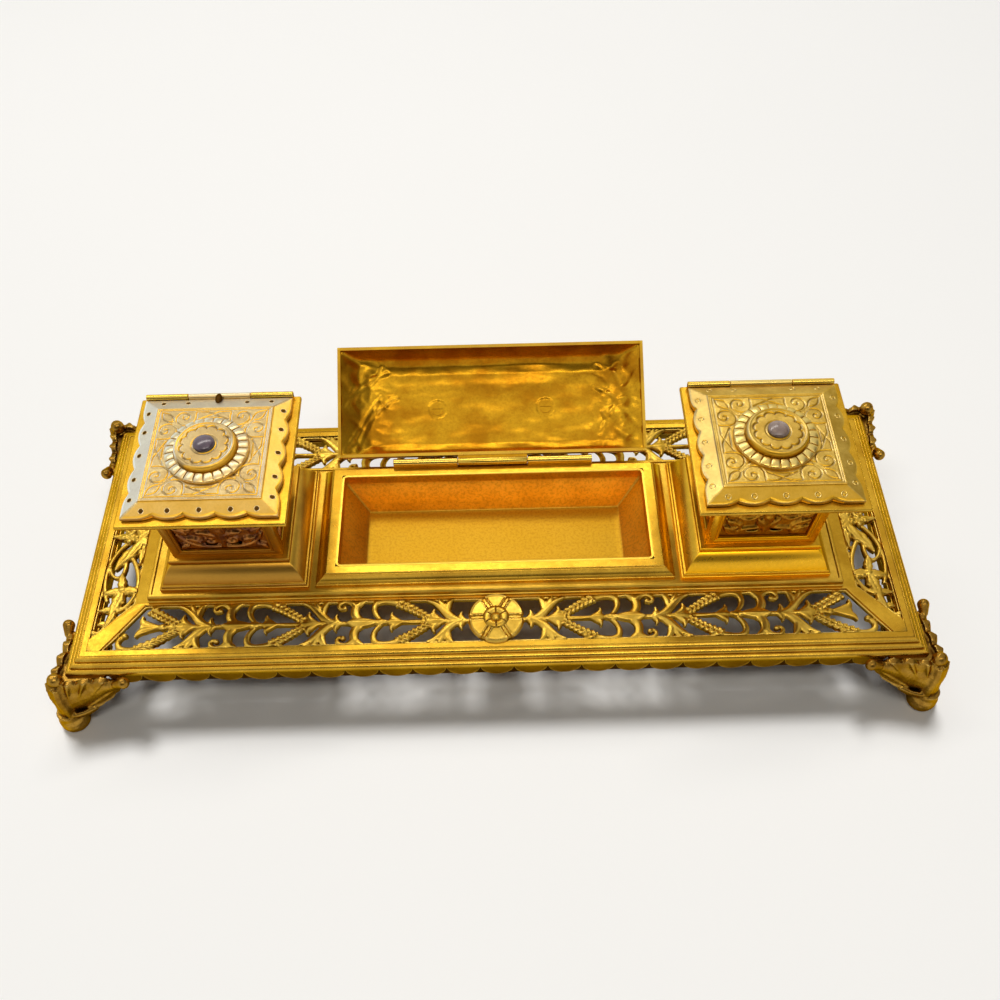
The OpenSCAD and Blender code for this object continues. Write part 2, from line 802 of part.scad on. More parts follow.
// The shell's outside, or its inside when made thinner by t
module shell_solid(t) {
    h = shell_h - shell_lip - t;
    z = shell_z + shell_lip;
    foot = [[0, shell_z - (t > 0 ? past : 0)]];
    translate([0, shell_y, 0])
        moulded(shell_l - 2 * t, shell_d - 2 * t, concat(foot, outline(SHELL_END, shell_end_w, h, z)),
            concat(foot, outline(SHELL_SIDE, shell_side_w, h, z)));
}

plaque_screw_r = 0.9;
plaque_head_r = 2.5;
plaque_head_h = 1;

module plaque_screw_places() {
    for (x = [-plaque_screws / 2, plaque_screws / 2])
        translate([x, shell_y, 0])
            children();
}

module tray_lid() {
    color(GILT)
        opened()
            difference() {
                union() {
                    difference() {
                        shell_solid(0);
                        shell_solid(shell_t);
                    }
                    bar_x(-box_middle_half, box_middle_half, box_hinge_y, box_hinge_z, box_knuckle_r);
                    block(-box_middle_half, box_middle_half, shell_back - 0.8, box_hinge_y,
                        box_hinge_z - box_knuckle_r * 0.7, box_hinge_z + box_knuckle_r * 0.5);
                }
                bar_x(-box_hinge_half, box_hinge_half, box_hinge_y, box_hinge_z, box_pin_r + pin_clear);
                plaque_screw_places()
                    post(plaque_screw_r + hole_clear / 2, shell_top - shell_t - past, shell_top + past);
            }
}

module tray_lid_plaque() {
    edge = outline(PLAQUE_MOULDING, plaque_t, plaque_t, shell_top);
    color(GILT)
        opened()
            difference() {
                translate([0, shell_y, 0])
                    moulded(plaque_l, plaque_w, edge, edge);
                plaque_screw_places()
                    post(plaque_screw_r + hole_clear / 2, shell_top - past, shell_top + plaque_t * 0.6);
            }
}

boss_r = 9.4;
boss_z = shell_top + plaque_t;

module tray_lid_boss() {
    color(PALE_GILT)
        opened()
            translate([0, shell_y, boss_z]) {
                toothed_ring(boss_r, boss_r * 0.7, ring_h, 20);
                post(boss_r * 0.7, 0, ring_h + disc_h * 0.6);
            }
}

module tray_lid_stone() {
    color(STONE)
        opened()
            translate([0, shell_y, boss_z + ring_h + disc_h * 0.6])
                cabochon(stone_r * 0.8);
}

module tray_lid_screws() {
    color(GILT)
        opened()
            plaque_screw_places()
                slotted_screw(plaque_screw_r, shell_t + plaque_t * 0.5, plaque_head_r, plaque_head_h,
                    shell_top - shell_t);
}

// ---------------------------------------------------------------- inkwells, drawn at the origin

ring_h = 2.1;
disc_h = 2;
ring_teeth = 26;

module toothed_ring(r, inner, h, teeth) {
    post(r, 0, h * 0.55);
    translate([0, 0, h * 0.55])
        linear_extrude(h * 0.45)
            for (i = [0:teeth - 1])
                rotate(i * 360 / teeth)
                    translate([inner - 0.4, -PI * r / teeth * 0.82])
                        square([r - inner, PI * r / teeth * 1.64]);
}

module cabochon(r) {
    intersection() {
        translate([0, 0, -r * 0.45])
            sphere(r = r * 1.1, $fn = round_fn);
        post(r, 0, r * 2);
    }
}

// The hollow plinth, with a boss inside for its screw
module plinth() {
    slab_in = (plinth_w - slab_w) / 2;
    neck_in = slab_in + 0.7;
    edge = concat(outline(PLINTH_MOULDING, neck_in, plinth_h - slab_h, floor_z),
        [[slab_in, plinth_top - slab_h], [slab_in, plinth_top]]);
    hollow_w = plinth_w - 2 * neck_in - 2 * plinth_wall;
    color(GILT)
        difference() {
            moulded(plinth_w, plinth_w, edge, edge);
            difference() {
                centred_block(hollow_w, hollow_w, floor_z - past, plinth_top - slab_h - 0.6);
                post(well_screw_r + 2.4, floor_z - 2 * past, plinth_top);
            }
            post(well_screw_r + hole_clear / 2, floor_z - past, web_bottom + well_screw_l + hole_clear);
        }
}

window_w = well_w - 2 * relief_border;
window_z0 = plinth_top + 3.4;
window_z1 = collar_bottom - 3.2;

module body() {
    hollow_w = well_w - 2 * well_wall;
    color(GILT)
        difference() {
            centred_block(well_w, well_w, plinth_top, collar_bottom);
            centred_block(hollow_w, hollow_w, plinth_top - past, collar_bottom + past);
            centred_block(window_w, well_w + past, window_z0, window_z1);
            centred_block(well_w + past, window_w, window_z0, window_z1);
        }
}

// The panel in the front window: a pierced sheet with scroll-shaped holes
module relief() {
    sunk = 0.7;
    high = window_z1 - window_z0;
    color(DARK_GILT)
        translate([0, sunk + relief_t - well_w / 2, window_z0])
            rotate([90, 0, 0])
                linear_extrude(relief_t)
                    difference() {
                        translate([-window_w / 2, 0])
                            square([window_w, high]);
                        for (x = [-1, 1]) {
                            translate([x * window_w * 0.36, high * 0.2])
                                circle(r = high * 0.09, $fn = 24);
                            translate([x * window_w * 0.13, high * 0.16])
                                circle(r = high * 0.08, $fn = 24);
                            leaf([x * window_w * 0.12, high * 0.7], [x * window_w * 0.34, high * 0.84],
                                high * 0.12);
                        }
                    }
}

module collar() {
    edge = concat(outline(COLLAR_MOULDING, 1.4, collar_t, collar_bottom), [[2.4, collar_top]]);
    inner_end = well_middle_half + knuckle_gap;
    color(GILT)
        difference() {
            union() {
                moulded(collar_w, collar_w, edge, edge);
                for (side = [0, 1])
                    mirror([side, 0, 0]) {
                        bar_x(inner_end, lid_w / 2, well_hinge_y, well_hinge_z, well_knuckle_r);
                        block(inner_end, lid_w / 2, well_hinge_y - well_knuckle_r * 0.7,
                            well_hinge_y + well_knuckle_r * 0.5, collar_top - collar_t / 4,
                            well_hinge_z - well_knuckle_r * 0.5);
                    }
            }
            post(liner_r + hole_clear, collar_bottom - past, collar_top + past);
            bar_x(-lid_w, lid_w, well_hinge_y, well_hinge_z, well_pin_r + pin_clear);
        }
}

module liner() {
    base_t = 2.5;
    bottom = collar_top - liner_depth;
    color(GLASS)
        difference() {
            union() {
                post(liner_r + flange_w, collar_top, collar_top + 1);
                post(liner_r, bottom, collar_top);
            }
            post(liner_r - liner_wall, bottom + base_t, collar_top + 1 + past);
        }
}

module hinge_pin() {
    color(GILT)
        bar_x(-lid_w / 2, lid_w / 2, well_hinge_y, well_hinge_z, well_pin_r);
}

// The lid's outline: five scallops on three sides, straight at the hinge, with full corners
module lid_outline() {
    sag = 1.4;
    pitch = lid_w / 5;
    r = (pitch * pitch / 4 + sag * sag) / (2 * sag);
    square(lid_w - 2 * sag, center = true);
    translate([-lid_w / 2, lid_w / 2 - 2 * sag])
        square([lid_w, 2 * sag]);
    for (turn = [90, 180, 270])
        rotate(turn) {
            for (i = [-2:2])
                intersection() {
                    translate([i * pitch, lid_w / 2 - r])
                        circle(r = r, $fn = 128);
                    translate([(i - 0.5) * pitch, 0])
                        square([pitch, lid_w / 2]);
                }
            for (x = [-1, 1])
                translate([x * (lid_w / 2 - pitch / 4), lid_w / 2 - pitch / 4])
                    square(pitch / 2, center = true);
        }
}

module lid() {
    bevel = (lid_w - panel_w) / 2;
    step = 0.3;
    slope = [[0, edge_top - step], [bevel, panel_z - step], [bevel, panel_z]];
    color(GILT)
        difference() {
            union() {
                translate([0, 0, lid_bottom])
                    linear_extrude(lid_edge_t - step)
                        lid_outline();
                intersection() {
                    moulded(lid_w, lid_w, slope, slope);
                    linear_extrude(panel_z + past)
                        lid_outline();
                }
                bar_x(-well_middle_half, well_middle_half, well_hinge_y, well_hinge_z, well_knuckle_r);
                block(-well_middle_half, well_middle_half, lid_w / 2 - 2, well_hinge_y,
                    lid_bottom + 0.2, well_hinge_z);
            }
            centred_block(panel_w + 1, panel_w + 1, lid_bottom - past, lid_bottom + lid_hollow);
            bar_x(-lid_w, lid_w, well_hinge_y, well_hinge_z, well_pin_r + pin_clear);
        }
}

module lid_ring() {
    color(PALE_GILT)
        translate([0, 0, panel_z])
            difference() {
                toothed_ring(ring_r, disc_r, ring_h, ring_teeth);
                post(disc_r, -past, ring_h + past);
            }
}

module lid_disc() {
    color(GILT)
        post(disc_r, panel_z, panel_z + ring_h + disc_h);
}

module lid_stone() {
    color(STONE)
        translate([0, 0, panel_z + ring_h + disc_h])
            cabochon(stone_r);
}

module fixing_screw() {
    color(STEEL)
        slotted_screw(well_screw_r, well_screw_l, well_head_r, well_head_h, web_bottom);
}

// A piece of the right well, or its mirror image on the left
module well_piece(side, piece) {
    mirror([side == "left" ? 1 : 0, 0, 0])
        translate([well_x, 0, 0]) {
            if (piece == "plinth") plinth();
            if (piece == "body") body();
            if (piece == "relief_front") relief();
            if (piece == "relief_back") rotate([0, 0, 180]) relief();
            if (piece == "relief_inner") rotate([0, 0, -90]) relief();
            if (piece == "relief_outer") rotate([0, 0, 90]) relief();
            if (piece == "collar") collar();
            if (piece == "liner") liner();
            if (piece == "hinge_pin") hinge_pin();
            if (piece == "lid") lid();
            if (piece == "lid_ring") lid_ring();
            if (piece == "lid_disc") lid_disc();
            if (piece == "lid_stone") lid_stone();
            if (piece == "fixing_screw") fixing_screw();
        }
}

// ---------------------------------------------------------------- what is drawn

base_frame();
apron_front();
apron_back();
apron_left();
apron_right();
grille_front();
grille_back();
grille_left();
grille_right();
rosette_front();
rosette_back();
foot_front_left();
foot_front_right();
foot_back_left();
foot_back_right();
foot_screws();
platform();
tray_frame();
tray_frame_screws();
tray();
tray_hinge_pin();
tray_lid();
tray_lid_plaque();
tray_lid_boss();
tray_lid_stone();
tray_lid_screws();
for (side = SIDES, piece = WELL_PIECES)
    well_piece(side, piece);
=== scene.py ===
import math
import random

import bmesh
import bpy
import numpy as np
from mathutils import Matrix, Vector, noise


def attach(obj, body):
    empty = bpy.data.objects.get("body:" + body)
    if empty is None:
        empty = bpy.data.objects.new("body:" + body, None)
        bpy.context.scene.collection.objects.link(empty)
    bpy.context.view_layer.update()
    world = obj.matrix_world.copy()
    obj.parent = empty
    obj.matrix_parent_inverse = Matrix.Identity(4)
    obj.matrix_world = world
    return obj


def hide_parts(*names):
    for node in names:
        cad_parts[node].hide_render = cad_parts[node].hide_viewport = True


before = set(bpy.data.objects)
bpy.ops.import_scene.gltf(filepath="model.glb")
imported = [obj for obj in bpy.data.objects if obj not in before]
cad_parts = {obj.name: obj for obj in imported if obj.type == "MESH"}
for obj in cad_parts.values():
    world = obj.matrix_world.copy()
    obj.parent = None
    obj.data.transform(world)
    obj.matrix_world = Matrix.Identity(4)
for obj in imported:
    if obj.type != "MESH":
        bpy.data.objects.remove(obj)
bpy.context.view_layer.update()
random.seed(7)

# Lengths are in millimetres until a piece is made
MM = 0.001


# ---------------------------------------------------------------- camera

def photographer():
    """The camera; its picture is square, and its focal length and centre are in pixels."""
    picture, focal, centre_x, centre_y, film = 1000, 852.89, 503.29, 668.14, 36
    pitch, roll = math.radians(-62.43), math.radians(-1.40)
    place = Vector((2.31, -212.52, 315.09))
    data = bpy.data.cameras.new("camera")
    data.sensor_fit = "HORIZONTAL"
    data.sensor_width = film
    data.lens = focal / picture * film
    data.shift_x = (picture / 2 - centre_x) / picture
    data.shift_y = (centre_y - picture / 2) / picture
    data.clip_start = 0.01
    camera = bpy.data.objects.new("camera", data)
    bpy.context.scene.collection.objects.link(camera)
    forward = Vector((0, math.cos(pitch), math.sin(pitch)))
    right = Vector((1, 0, 0))
    up = right.cross(forward)
    across = right * math.cos(roll) + up * math.sin(roll)
    upward = up * math.cos(roll) - right * math.sin(roll)
    turn = Matrix((across, upward, -forward)).transposed().to_4x4()
    camera.matrix_world = Matrix.Translation(place * MM) @ turn
    bpy.context.scene.camera = camera


photographer()


# ---------------------------------------------------------------- finishes

class Amount:
    """A number or colour that a node puts out, for shader maths."""

    def __init__(self, paint, socket):
        self.paint, self.socket = paint, socket

    def __add__(self, other):
        return self.paint.maths("ADD", self, other)

    __radd__ = __add__

    def __sub__(self, other):
        return self.paint.maths("SUBTRACT", self, other)

    def __rsub__(self, other):
        return self.paint.maths("SUBTRACT", other, self)

    def __mul__(self, other):
        return self.paint.maths("MULTIPLY", self, other)

    __rmul__ = __mul__

    def __truediv__(self, other):
        return self.paint.maths("DIVIDE", self, other)

    def between(self, low, high):
        """0 up to low, 1 from high, and a soft step between."""
        return self.paint.node("ShaderNodeMapRange", {"interpolation_type": "SMOOTHSTEP"},
                               {"Value": self, "From Min": low, "From Max": high}, "Result")


class Paint:
    """A material, or a world, and its nodes."""

    def __init__(self, name, owner=None):
        self.owner = owner or bpy.data.materials.new(name)
        self.owner.use_nodes = True
        self.tree = self.owner.node_tree
        self.tree.nodes.clear()

    def node(self, kind, settings, sockets, out=0):
        made = self.tree.nodes.new(kind)
        for name, value in settings.items():
            setattr(made, name, value)
        for name, value in sockets.items():
            if isinstance(value, Amount):
                self.tree.links.new(value.socket, made.inputs[name])
            else:
                made.inputs[name].default_value = value
        return Amount(self, made.outputs[out] if made.outputs else None)

    def maths(self, operation, a, b):
        return self.node("ShaderNodeMath", {"operation": operation}, {0: a, 1: b})

    def mix(self, share, a, b):
        """Colour a, turning to colour b as the share goes from 0 to 1."""
        return self.node("ShaderNodeMix", {"data_type": "RGBA", "clamp_factor": True},
                         {0: share, 6: a, 7: b}, 2)

    def place(self, stretch):
        """Where a point of the piece is, in metres, stretched before a texture reads it."""
        where = self.node("ShaderNodeTexCoord", {}, {}, "Object")
        return self.node("ShaderNodeMapping", {}, {"Vector": where, "Scale": stretch})

    def cloud(self, size, detail, rough=0.55, stretch=(1, 1, 1)):
        """Soft noise with spots of about the given size in millimetres."""
        return self.node("ShaderNodeTexNoise", {}, {"Vector": self.place(stretch), "Scale": 1 / (size * MM),
                                                    "Detail": detail, "Roughness": rough}, "Fac")

    def hollow(self):
        """How deep in a corner a point lies: 0.5 is flat, 1 is a deep corner, 0 is a sharp arris."""
        return self.node("ShaderNodeAttribute", {"attribute_name": "hollow"}, {}, "Fac")

    def towards(self, way, low, high):
        """1 where the surface faces a direction of the piece's own, 0 where it faces away."""
        own = self.node("ShaderNodeTexCoord", {}, {}, "Normal")
        return self.node("ShaderNodeVectorMath", {"operation": "DOT_PRODUCT"}, {0: own, 1: way},
                         "Value").between(low, high)

    def bumps(self, height, depth):
        return self.node("ShaderNodeBump", {}, {"Height": height, "Distance": depth * MM})

    def finish(self, shader, kind="Material"):
        self.node("ShaderNodeOutput" + kind, {}, {"Surface": shader})
        return self.owner


def rgb(text):
    """A colour from its sRGB hex code."""
    parts = [int(text[i:i + 2], 16) / 255 for i in (0, 2, 4)]
    return tuple(p / 12.92 if p <= 0.04045 else ((p + 0.055) / 1.055) ** 2.4 for p in parts) + (1,)


def gilding(name, main, deep, bright, patina_and_shade_colour, rough, hollow_patina_and_shade=1.0, grain=0.002, cloudy=16, strokes=None,
            edge="f2cf5c", painted_light_tints=(), under=1.0, speckle=0.08):
    """Gilt brass: cloudy warm tone, polished arrises, corners darkened by patination and painted shade,
    painted shade on what faces down, fine grain.

    A painted-light tint is light or shade painted on what faces one way: direction, where it starts and is
    whole, share, colour.
    """
    p = Paint(name)
    hollow = p.hollow()
    broad = p.cloud(cloudy, 4, 0.6).between(0.32, 0.68)
    fine = p.cloud(1.1, 5, 0.7)
    tone = p.mix(broad, rgb(main), rgb(deep))
    tone = p.mix(fine.between(0.35, 0.75) * 0.3, tone, rgb(deep))
    # painted light and shade on the faces that look each given way
    for way, low, high, share, colour in painted_light_tints:
        tone = p.mix(p.towards(way, low, high) * share, tone, rgb(colour))
    tone = p.mix(fine.between(0.45, 0.62) * speckle, tone, rgb(patina_and_shade_colour))
    arris = (0.5 - hollow).between(0.04, 0.3)
    tone = p.mix(arris * 0.55, tone, rgb(bright))
    # darker in the hollows, as patination and painted shade together; under adds painted shade on faces that
    # look down
    patina_and_shade = (hollow - 0.5).between(0.02, 0.2) * hollow_patina_and_shade
    patina_and_shade = patina_and_shade * (0.6 + broad * 0.5) + p.towards((0, 0, -1), 0.45, 0.85) * under
    patina_and_shade = p.maths("MINIMUM", patina_and_shade, 1.0)
    tone = p.mix(patina_and_shade, tone, rgb(patina_and_shade_colour))
    dull = rough + fine.between(0.3, 0.8) * 0.08 + patina_and_shade * 0.25 - arris * 0.08
    relief = fine
    if strokes:
        relief = relief + p.cloud(0.9, 4, 0.65, strokes) * 1.6
    normal = p.bumps(relief, grain)
    shader = p.node("ShaderNodeBsdfPrincipled", {}, {
        "Base Color": tone, "Metallic": 1 - patina_and_shade * 0.45, "Roughness": dull, "Normal": normal,
        "Specular Tint": rgb(edge)})
    return p.finish(shader)


LEFTWARD, RIGHTWARD, FRONTWARD, UPWARD = (-0.75, 0.66, 0), (0.7, -0.7, 0), (0, -1, 0), (0, 0, 1)
# The way the inside of the tray's lid faces
LID_INWARD = (0, -0.35, -0.94)
GILT = gilding("gilt_satin", "d8a834", "b88824", "f4d468", "4a2c0a", 0.27, 1.5)
GILT_FLAT = gilding("gilt_platform", "d8aa3c", "b68c2a", "f4d470", "50320e", 0.34)
# left plinth and body: a darker copy of the gilt as painted shade, with more painted shade on its front
GILT_PLINTH_PAINTED_SHADE = gilding("gilt_left_plinth_painted_shade", "cc9a30", "ac7c20", "eec85e", "442808", 0.33, 1.0, 0.003, 14,
                   painted_light_tints=((FRONTWARD, 0.2, 0.7, 0.85, "a4661a"),))
# right plinth and body: the lit copy of the gilt, with a bright painted reflection on its front
GILT_PLINTH_PAINTED_LIGHT = gilding("gilt_right_plinth_painted_light", "d8a42c", "b8841c", "f6ce4c", "4c2e0a", 0.3, 0.9, 0.003, 14,
                    painted_light_tints=((FRONTWARD, 0.1, 0.5, 1.0, "ffb814"),))
# right lid: painted reflections on what faces left and what faces front
GILT_PALE = gilding("gilt_right_lid", "dcb85c", "b8923e", "f2dc8c", "5c4018", 0.34, 1.1, 0.006, 9,
                    edge="f2dc90",
                    painted_light_tints=((LEFTWARD, 0.12, 0.3, 0.8, "b8a270"), (FRONTWARD, 0.2, 0.32, 0.9, "c4921c")))
# left lid: worn gilding, with a painted white sky reflection on what faces left and a painted gold reflection
# on what faces right
GILT_WORN_WITH_PAINTED_REFLECTIONS = gilding("gilt_left_lid", "bca676", "a48856", "e8dcb8", "6a4e30", 0.36, 1.0, 0.006, 9,
                    edge="f4ecd4",
                    painted_light_tints=((LEFTWARD, 0.12, 0.3, 1.0, "f2f4ee"), (RIGHTWARD, 0.12, 0.26, 1.0, "ecb438")))
GILT_CAST = gilding("gilt_cast", "d8b048", "b48a2c", "fae48c", "3c240a", 0.28, 1.2, 0.002, 7)
# feet: painted shade on their upward faces
GILT_FOOT = gilding("gilt_feet", "b48a38", "845e20", "f8dc80", "281606", 0.26, 1.6, 0.003, 8,
                    painted_light_tints=((UPWARD, 0.75, 0.98, 0.55, "74541e"),))
# tray: painted shade on its floor, which faces up
GILT_ORANGE = gilding("gilt_tray", "fcc040", "ecac30", "f8cc50", "5c3008", 0.36, 0.8, 0.006, 20,
                      strokes=(1, 6, 6), painted_light_tints=((UPWARD, 0.8, 0.98, 0.9, "a0781a"),), under=0.0, speckle=0.22)
# tray lid: a painted highlight on its inside
GILT_HAMMERED = gilding("gilt_hammered", "cc971e", "aa7010", "f8d860", "4c2c0a", 0.3, 0.5, 0.008, 14,
                        strokes=(1, 4, 4), painted_light_tints=((LID_INWARD, 0.6, 0.95, 1.0, "ffcc50"),), under=0.0,
                        speckle=0.12)
GILT_SCALLOP = gilding("gilt_aprons", "a87e20", "886216", "ecc658", "3c240a", 0.34, 1.3)
# dark gilt standing for shade: the strips behind the scallops and the left lid's holes; the left lid's hinge
# stop is coloured with it too
GILT_PAINTED_SHADE = gilding("gilt_shade", "4a2e10", "341e08", "6a4a1c", "1c1004", 0.5)
PATINA_LEFT = gilding("patina_relief", "b87834", "6c4030", "ecb866", "281414", 0.28, 1.4, 0.006, 5)
RELIEF_RIGHT = gilding("gilt_relief", "c88e26", "945e18", "f4c650", "2c1a08", 0.28, 1.5, 0.006, 5)
BRASS = gilding("hinge_brass", "c49a3c", "967424", "ecd078", "40300f", 0.32)


def stone_paint(name, main, deep):
    p = Paint(name)
    vein = p.cloud(1.6, 5, 0.7).between(0.35, 0.7)
    tone = p.mix(vein, rgb(main), rgb(deep))
    shader = p.node("ShaderNodeBsdfPrincipled", {}, {
        "Base Color": tone, "Roughness": 0.22 + vein * 0.12, "Coat Weight": 0.6, "Coat Roughness": 0.08,
        "Normal": p.bumps(p.cloud(0.5, 3), 0.004)})
    return p.finish(shader)


STONE_LEFT = stone_paint("stone_left", "5a4450", "352632")
STONE_RIGHT = stone_paint("stone_right", "8a7466", "5e4a44")


def glass_paint():
    p = Paint("liner_glass")
    shader = p.node("ShaderNodeBsdfPrincipled", {}, {
        "Base Color": p.mix(p.cloud(6, 2), rgb("e4efe9"), rgb("d3e4dc")), "Roughness": 0.06,
        "Transmission Weight": 0.9, "IOR": 1.5})
    return p.finish(shader)


GLASS = glass_paint()


# ---------------------------------------------------------------- mesh making

BOTH = (True, True)


class Form:
    """Points in millimetres and the faces between them, gathered until a piece is made."""

    def __init__(self):
        self.points, self.faces, self.count = [], [], 0

    def add(self, points, faces):
        points = np.asarray(points, float).reshape(-1, 3)
        self.points.append(points)
        self.faces += [tuple(int(i) + self.count for i in face) for face in faces]
        self.count += len(points)
        return self

    def rings(self, rings, around=True, ends=(False, False), along=False):
        """Quads between rings of points; around closes each ring, along joins the last ring to the first."""
        n, m = len(rings), len(rings[0])
        faces = []
        for i in range(n if along else n - 1):
            a, b = i * m, (i + 1) % n * m
            for j in range(m if around else m - 1):
                k = (j + 1) % m
                faces.append((a + j, a + k, b + k, b + j))
        if ends[0]:
            faces.append(tuple(reversed(range(m))))
        if ends[1]:
            faces.append(tuple(range((n - 1) * m, n * m)))
        return self.add(np.concatenate([np.asarray(r, float) for r in rings]), faces)

    def sheet(self, xs, ys, height):
        """A grid over xs and ys at the given heights, an array of len(ys) by len(xs)."""
        gx, gy = np.meshgrid(xs, ys)
        m = len(xs)
        faces = [(j * m + i, j * m + i + 1, (j + 1) * m + i + 1, (j + 1) * m + i)
                 for j in range(len(ys) - 1) for i in range(m - 1)]
        return self.add(np.stack([gx, gy, height], -1), faces)

    def gather(self):
        return np.concatenate(self.points)

    def moved(self, change, flip=False):
        """A copy with every point changed; flip turns the faces over, for a mirror image."""
        copy = Form()
        faces = [tuple(reversed(f)) for f in self.faces] if flip else self.faces
        return copy.add(change(self.gather()), faces)

    def join(self, other):
        return self.add(other.gather(), other.faces)


def shifted(form, x=0, y=0, z=0):
    return form.moved(lambda p: p + [x, y, z])


def mirror_x(form):
    return form.moved(lambda p: p * [-1, 1, 1], True)


def mirror_y(form):
    return form.moved(lambda p: p * [1, -1, 1], True)


def four_sides(front, right):
    """What goes round the base, from its front and its right side."""
    return {"front": front, "back": mirror_y(front), "right": right, "left": mirror_x(right)}


def turned(form, degrees):
    c, s = math.cos(math.radians(degrees)), math.sin(math.radians(degrees))
    return form.moved(lambda p: np.stack([p[:, 0] * c - p[:, 1] * s, p[:, 0] * s + p[:, 1] * c, p[:, 2]], -1))


def upright(form):
    """Drawn on the XY plane facing up, then stood up to face the front."""
    return form.moved(lambda p: np.stack([p[:, 0], -p[:, 2], p[:, 1]], -1))


def hollows(mesh, rounds=2):
    """Writes how far each point lies in a hollow (over 0.5) or on an arris (under 0.5)."""
    n = len(mesh.vertices)
    co = np.empty(n * 3)
    mesh.vertices.foreach_get("co", co)
    co = co.reshape(-1, 3)
    normals = np.empty(n * 3, np.float32)
    mesh.vertex_normals.foreach_get("vector", normals)
    normals = normals.reshape(-1, 3).astype(float)
    edges = np.empty(len(mesh.edges) * 2, np.int32)
    mesh.edges.foreach_get("vertices", edges)
    a, b = edges.reshape(-1, 2).T
    way = co[b] - co[a]
    size = np.maximum(np.linalg.norm(way, axis=1), 1e-9)
    way = way / size[:, None]
    weight = 1 / np.maximum(size / MM, 0.15)
    total, amount = np.zeros(n), np.zeros(n)
    for here, sign in ((a, 1), (b, -1)):
        np.add.at(total, here, weight * sign * np.sum(way * normals[here], 1))
        np.add.at(amount, here, weight)
    value = total / np.maximum(amount, 1e-9)
    for _ in range(rounds):
        total, amount = value * 1.5, np.full(n, 1.5)
        np.add.at(total, a, value[b])
        np.add.at(total, b, value[a])
        np.add.at(amount, a, 1)
        np.add.at(amount, b, 1)
        value = total / amount
    # a wide flat face counts as flat, with neither patination and painted shade nor arris colour, whatever
    # its corners are
    for face in mesh.polygons:
        corners = co[list(face.vertices)]
        longest = np.linalg.norm(corners - np.roll(corners, 1, axis=0), axis=1).max()
        if longest > 6 * MM and face.area / longest > 3 * MM:
            value[list(face.vertices)] = 0
    attribute = mesh.attributes.new("hollow", "FLOAT", "POINT")
    attribute.data.foreach_set("value", np.clip(0.5 + value, 0, 1).astype(np.float32))


def piece(name, form, body, slot, paint, stands_for=(), bevel=0, fuse=0, soften=0, crease=32, rounds=2):
    """Makes a piece: welds its points, bevels or fuses it if asked, and hangs it on its body."""
    mesh = bpy.data.meshes.new(name)
    mesh.from_pydata([tuple(p) for p in form.gather() * MM], [], form.faces)
    mesh.update()
    work = bmesh.new()
    work.from_mesh(mesh)
    bmesh.ops.remove_doubles(work, verts=work.verts, dist=0.004 * MM)
    bmesh.ops.dissolve_degenerate(work, edges=work.edges, dist=0.002 * MM)
    bmesh.ops.recalc_face_normals(work, faces=work.faces)
    work.to_mesh(mesh)
    work.free()
    made = bpy.data.objects.new(name, mesh)
    bpy.context.scene.collection.objects.link(made)
    if bevel:
        step = made.modifiers.new("arris", "BEVEL")
        step.width, step.segments, step.limit_method = bevel * MM, 2, "ANGLE"
        step.angle_limit = math.radians(30)
    if fuse:
        step = made.modifiers.new("cast", "REMESH")
        step.mode, step.voxel_size = "VOXEL", fuse * MM
    if soften:
        step = made.modifiers.new("soft", "SMOOTH")
        step.factor, step.iterations = 0.5, soften
    if bevel or fuse or soften:
        seen = made.evaluated_get(bpy.context.evaluated_depsgraph_get())
        done = bpy.data.meshes.new_from_object(seen)
        made.modifiers.clear()
        made.data = done
        bpy.data.meshes.remove(mesh)
        done.name = name
        mesh = done
    hollows(mesh, rounds)
    mesh.shade_smooth()
    mesh.set_sharp_from_angle(angle=math.radians(crease))
    mesh.materials.clear()
    mesh.materials.append(paint)
    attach(made, body)
    if stands_for:
        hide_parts(*([stands_for] if isinstance(stands_for, str) else stands_for))
    return made


def rectangle(half_x, half_y, z, r, steps=2):
    """A ring of points round a rectangle with small round corners."""
    r = min(r, half_x, half_y)
    points = []
    for sx, sy, start in ((1, 1, 0), (-1, 1, 90), (-1, -1, 180), (1, -1, 270)):
        for i in range(steps + 1):
            a = math.radians(start + 90 * i / steps)
            points.append((sx * (half_x - r) + r * math.cos(a), sy * (half_y - r) + r * math.sin(a), z))
    return np.array(points)


def eased(profile, r):
    """A moulding's outline with its corners rounded and a point beside each, so that arrises catch light."""
    pts = [np.array(p, float) for p in profile]
    out = [pts[0]]
    for before, here, after in zip(pts, pts[1:], pts[2:]):
        a, b = before - here, after - here
        la, lb = np.linalg.norm(a), np.linalg.norm(b)
        if la < 1e-6 or lb < 1e-6:
            continue
        bend = math.degrees(math.acos(np.clip(np.dot(-a, b) / la / lb, -1, 1)))
        if bend < 24:
            out.append(here)
            continue
        s = min(r, la * 0.4, lb * 0.4)
        p, q = here + a / la * s, here + b / lb * s
        if la > 3 * s:
            out.append(here + a / la * s * 2.2)
        out += [p, (p + q + 2 * here) / 4, q]
        if lb > 3 * s:
            out.append(here + b / lb * s * 2.2)
    out.append(pts[-1])
    return out


def moulding(form, half_x, half_y, profile, r, ease, closed=False):
    """A mitred moulding round a rectangle, from an outline of [inset, z] or [inset_x, inset_y, z]."""
    full = [(p[0], p[0], p[1]) if len(p) == 2 else tuple(p) for p in profile]
    if closed:
        full = full + full[:1]
    full = eased(full, ease) if ease else full
    rings = [rectangle(half_x - p[0], half_y - p[1], p[2], r) for p in full]
    if closed:
        return form.rings(rings[:-1], along=True)
    return form.rings(rings, ends=BOTH)


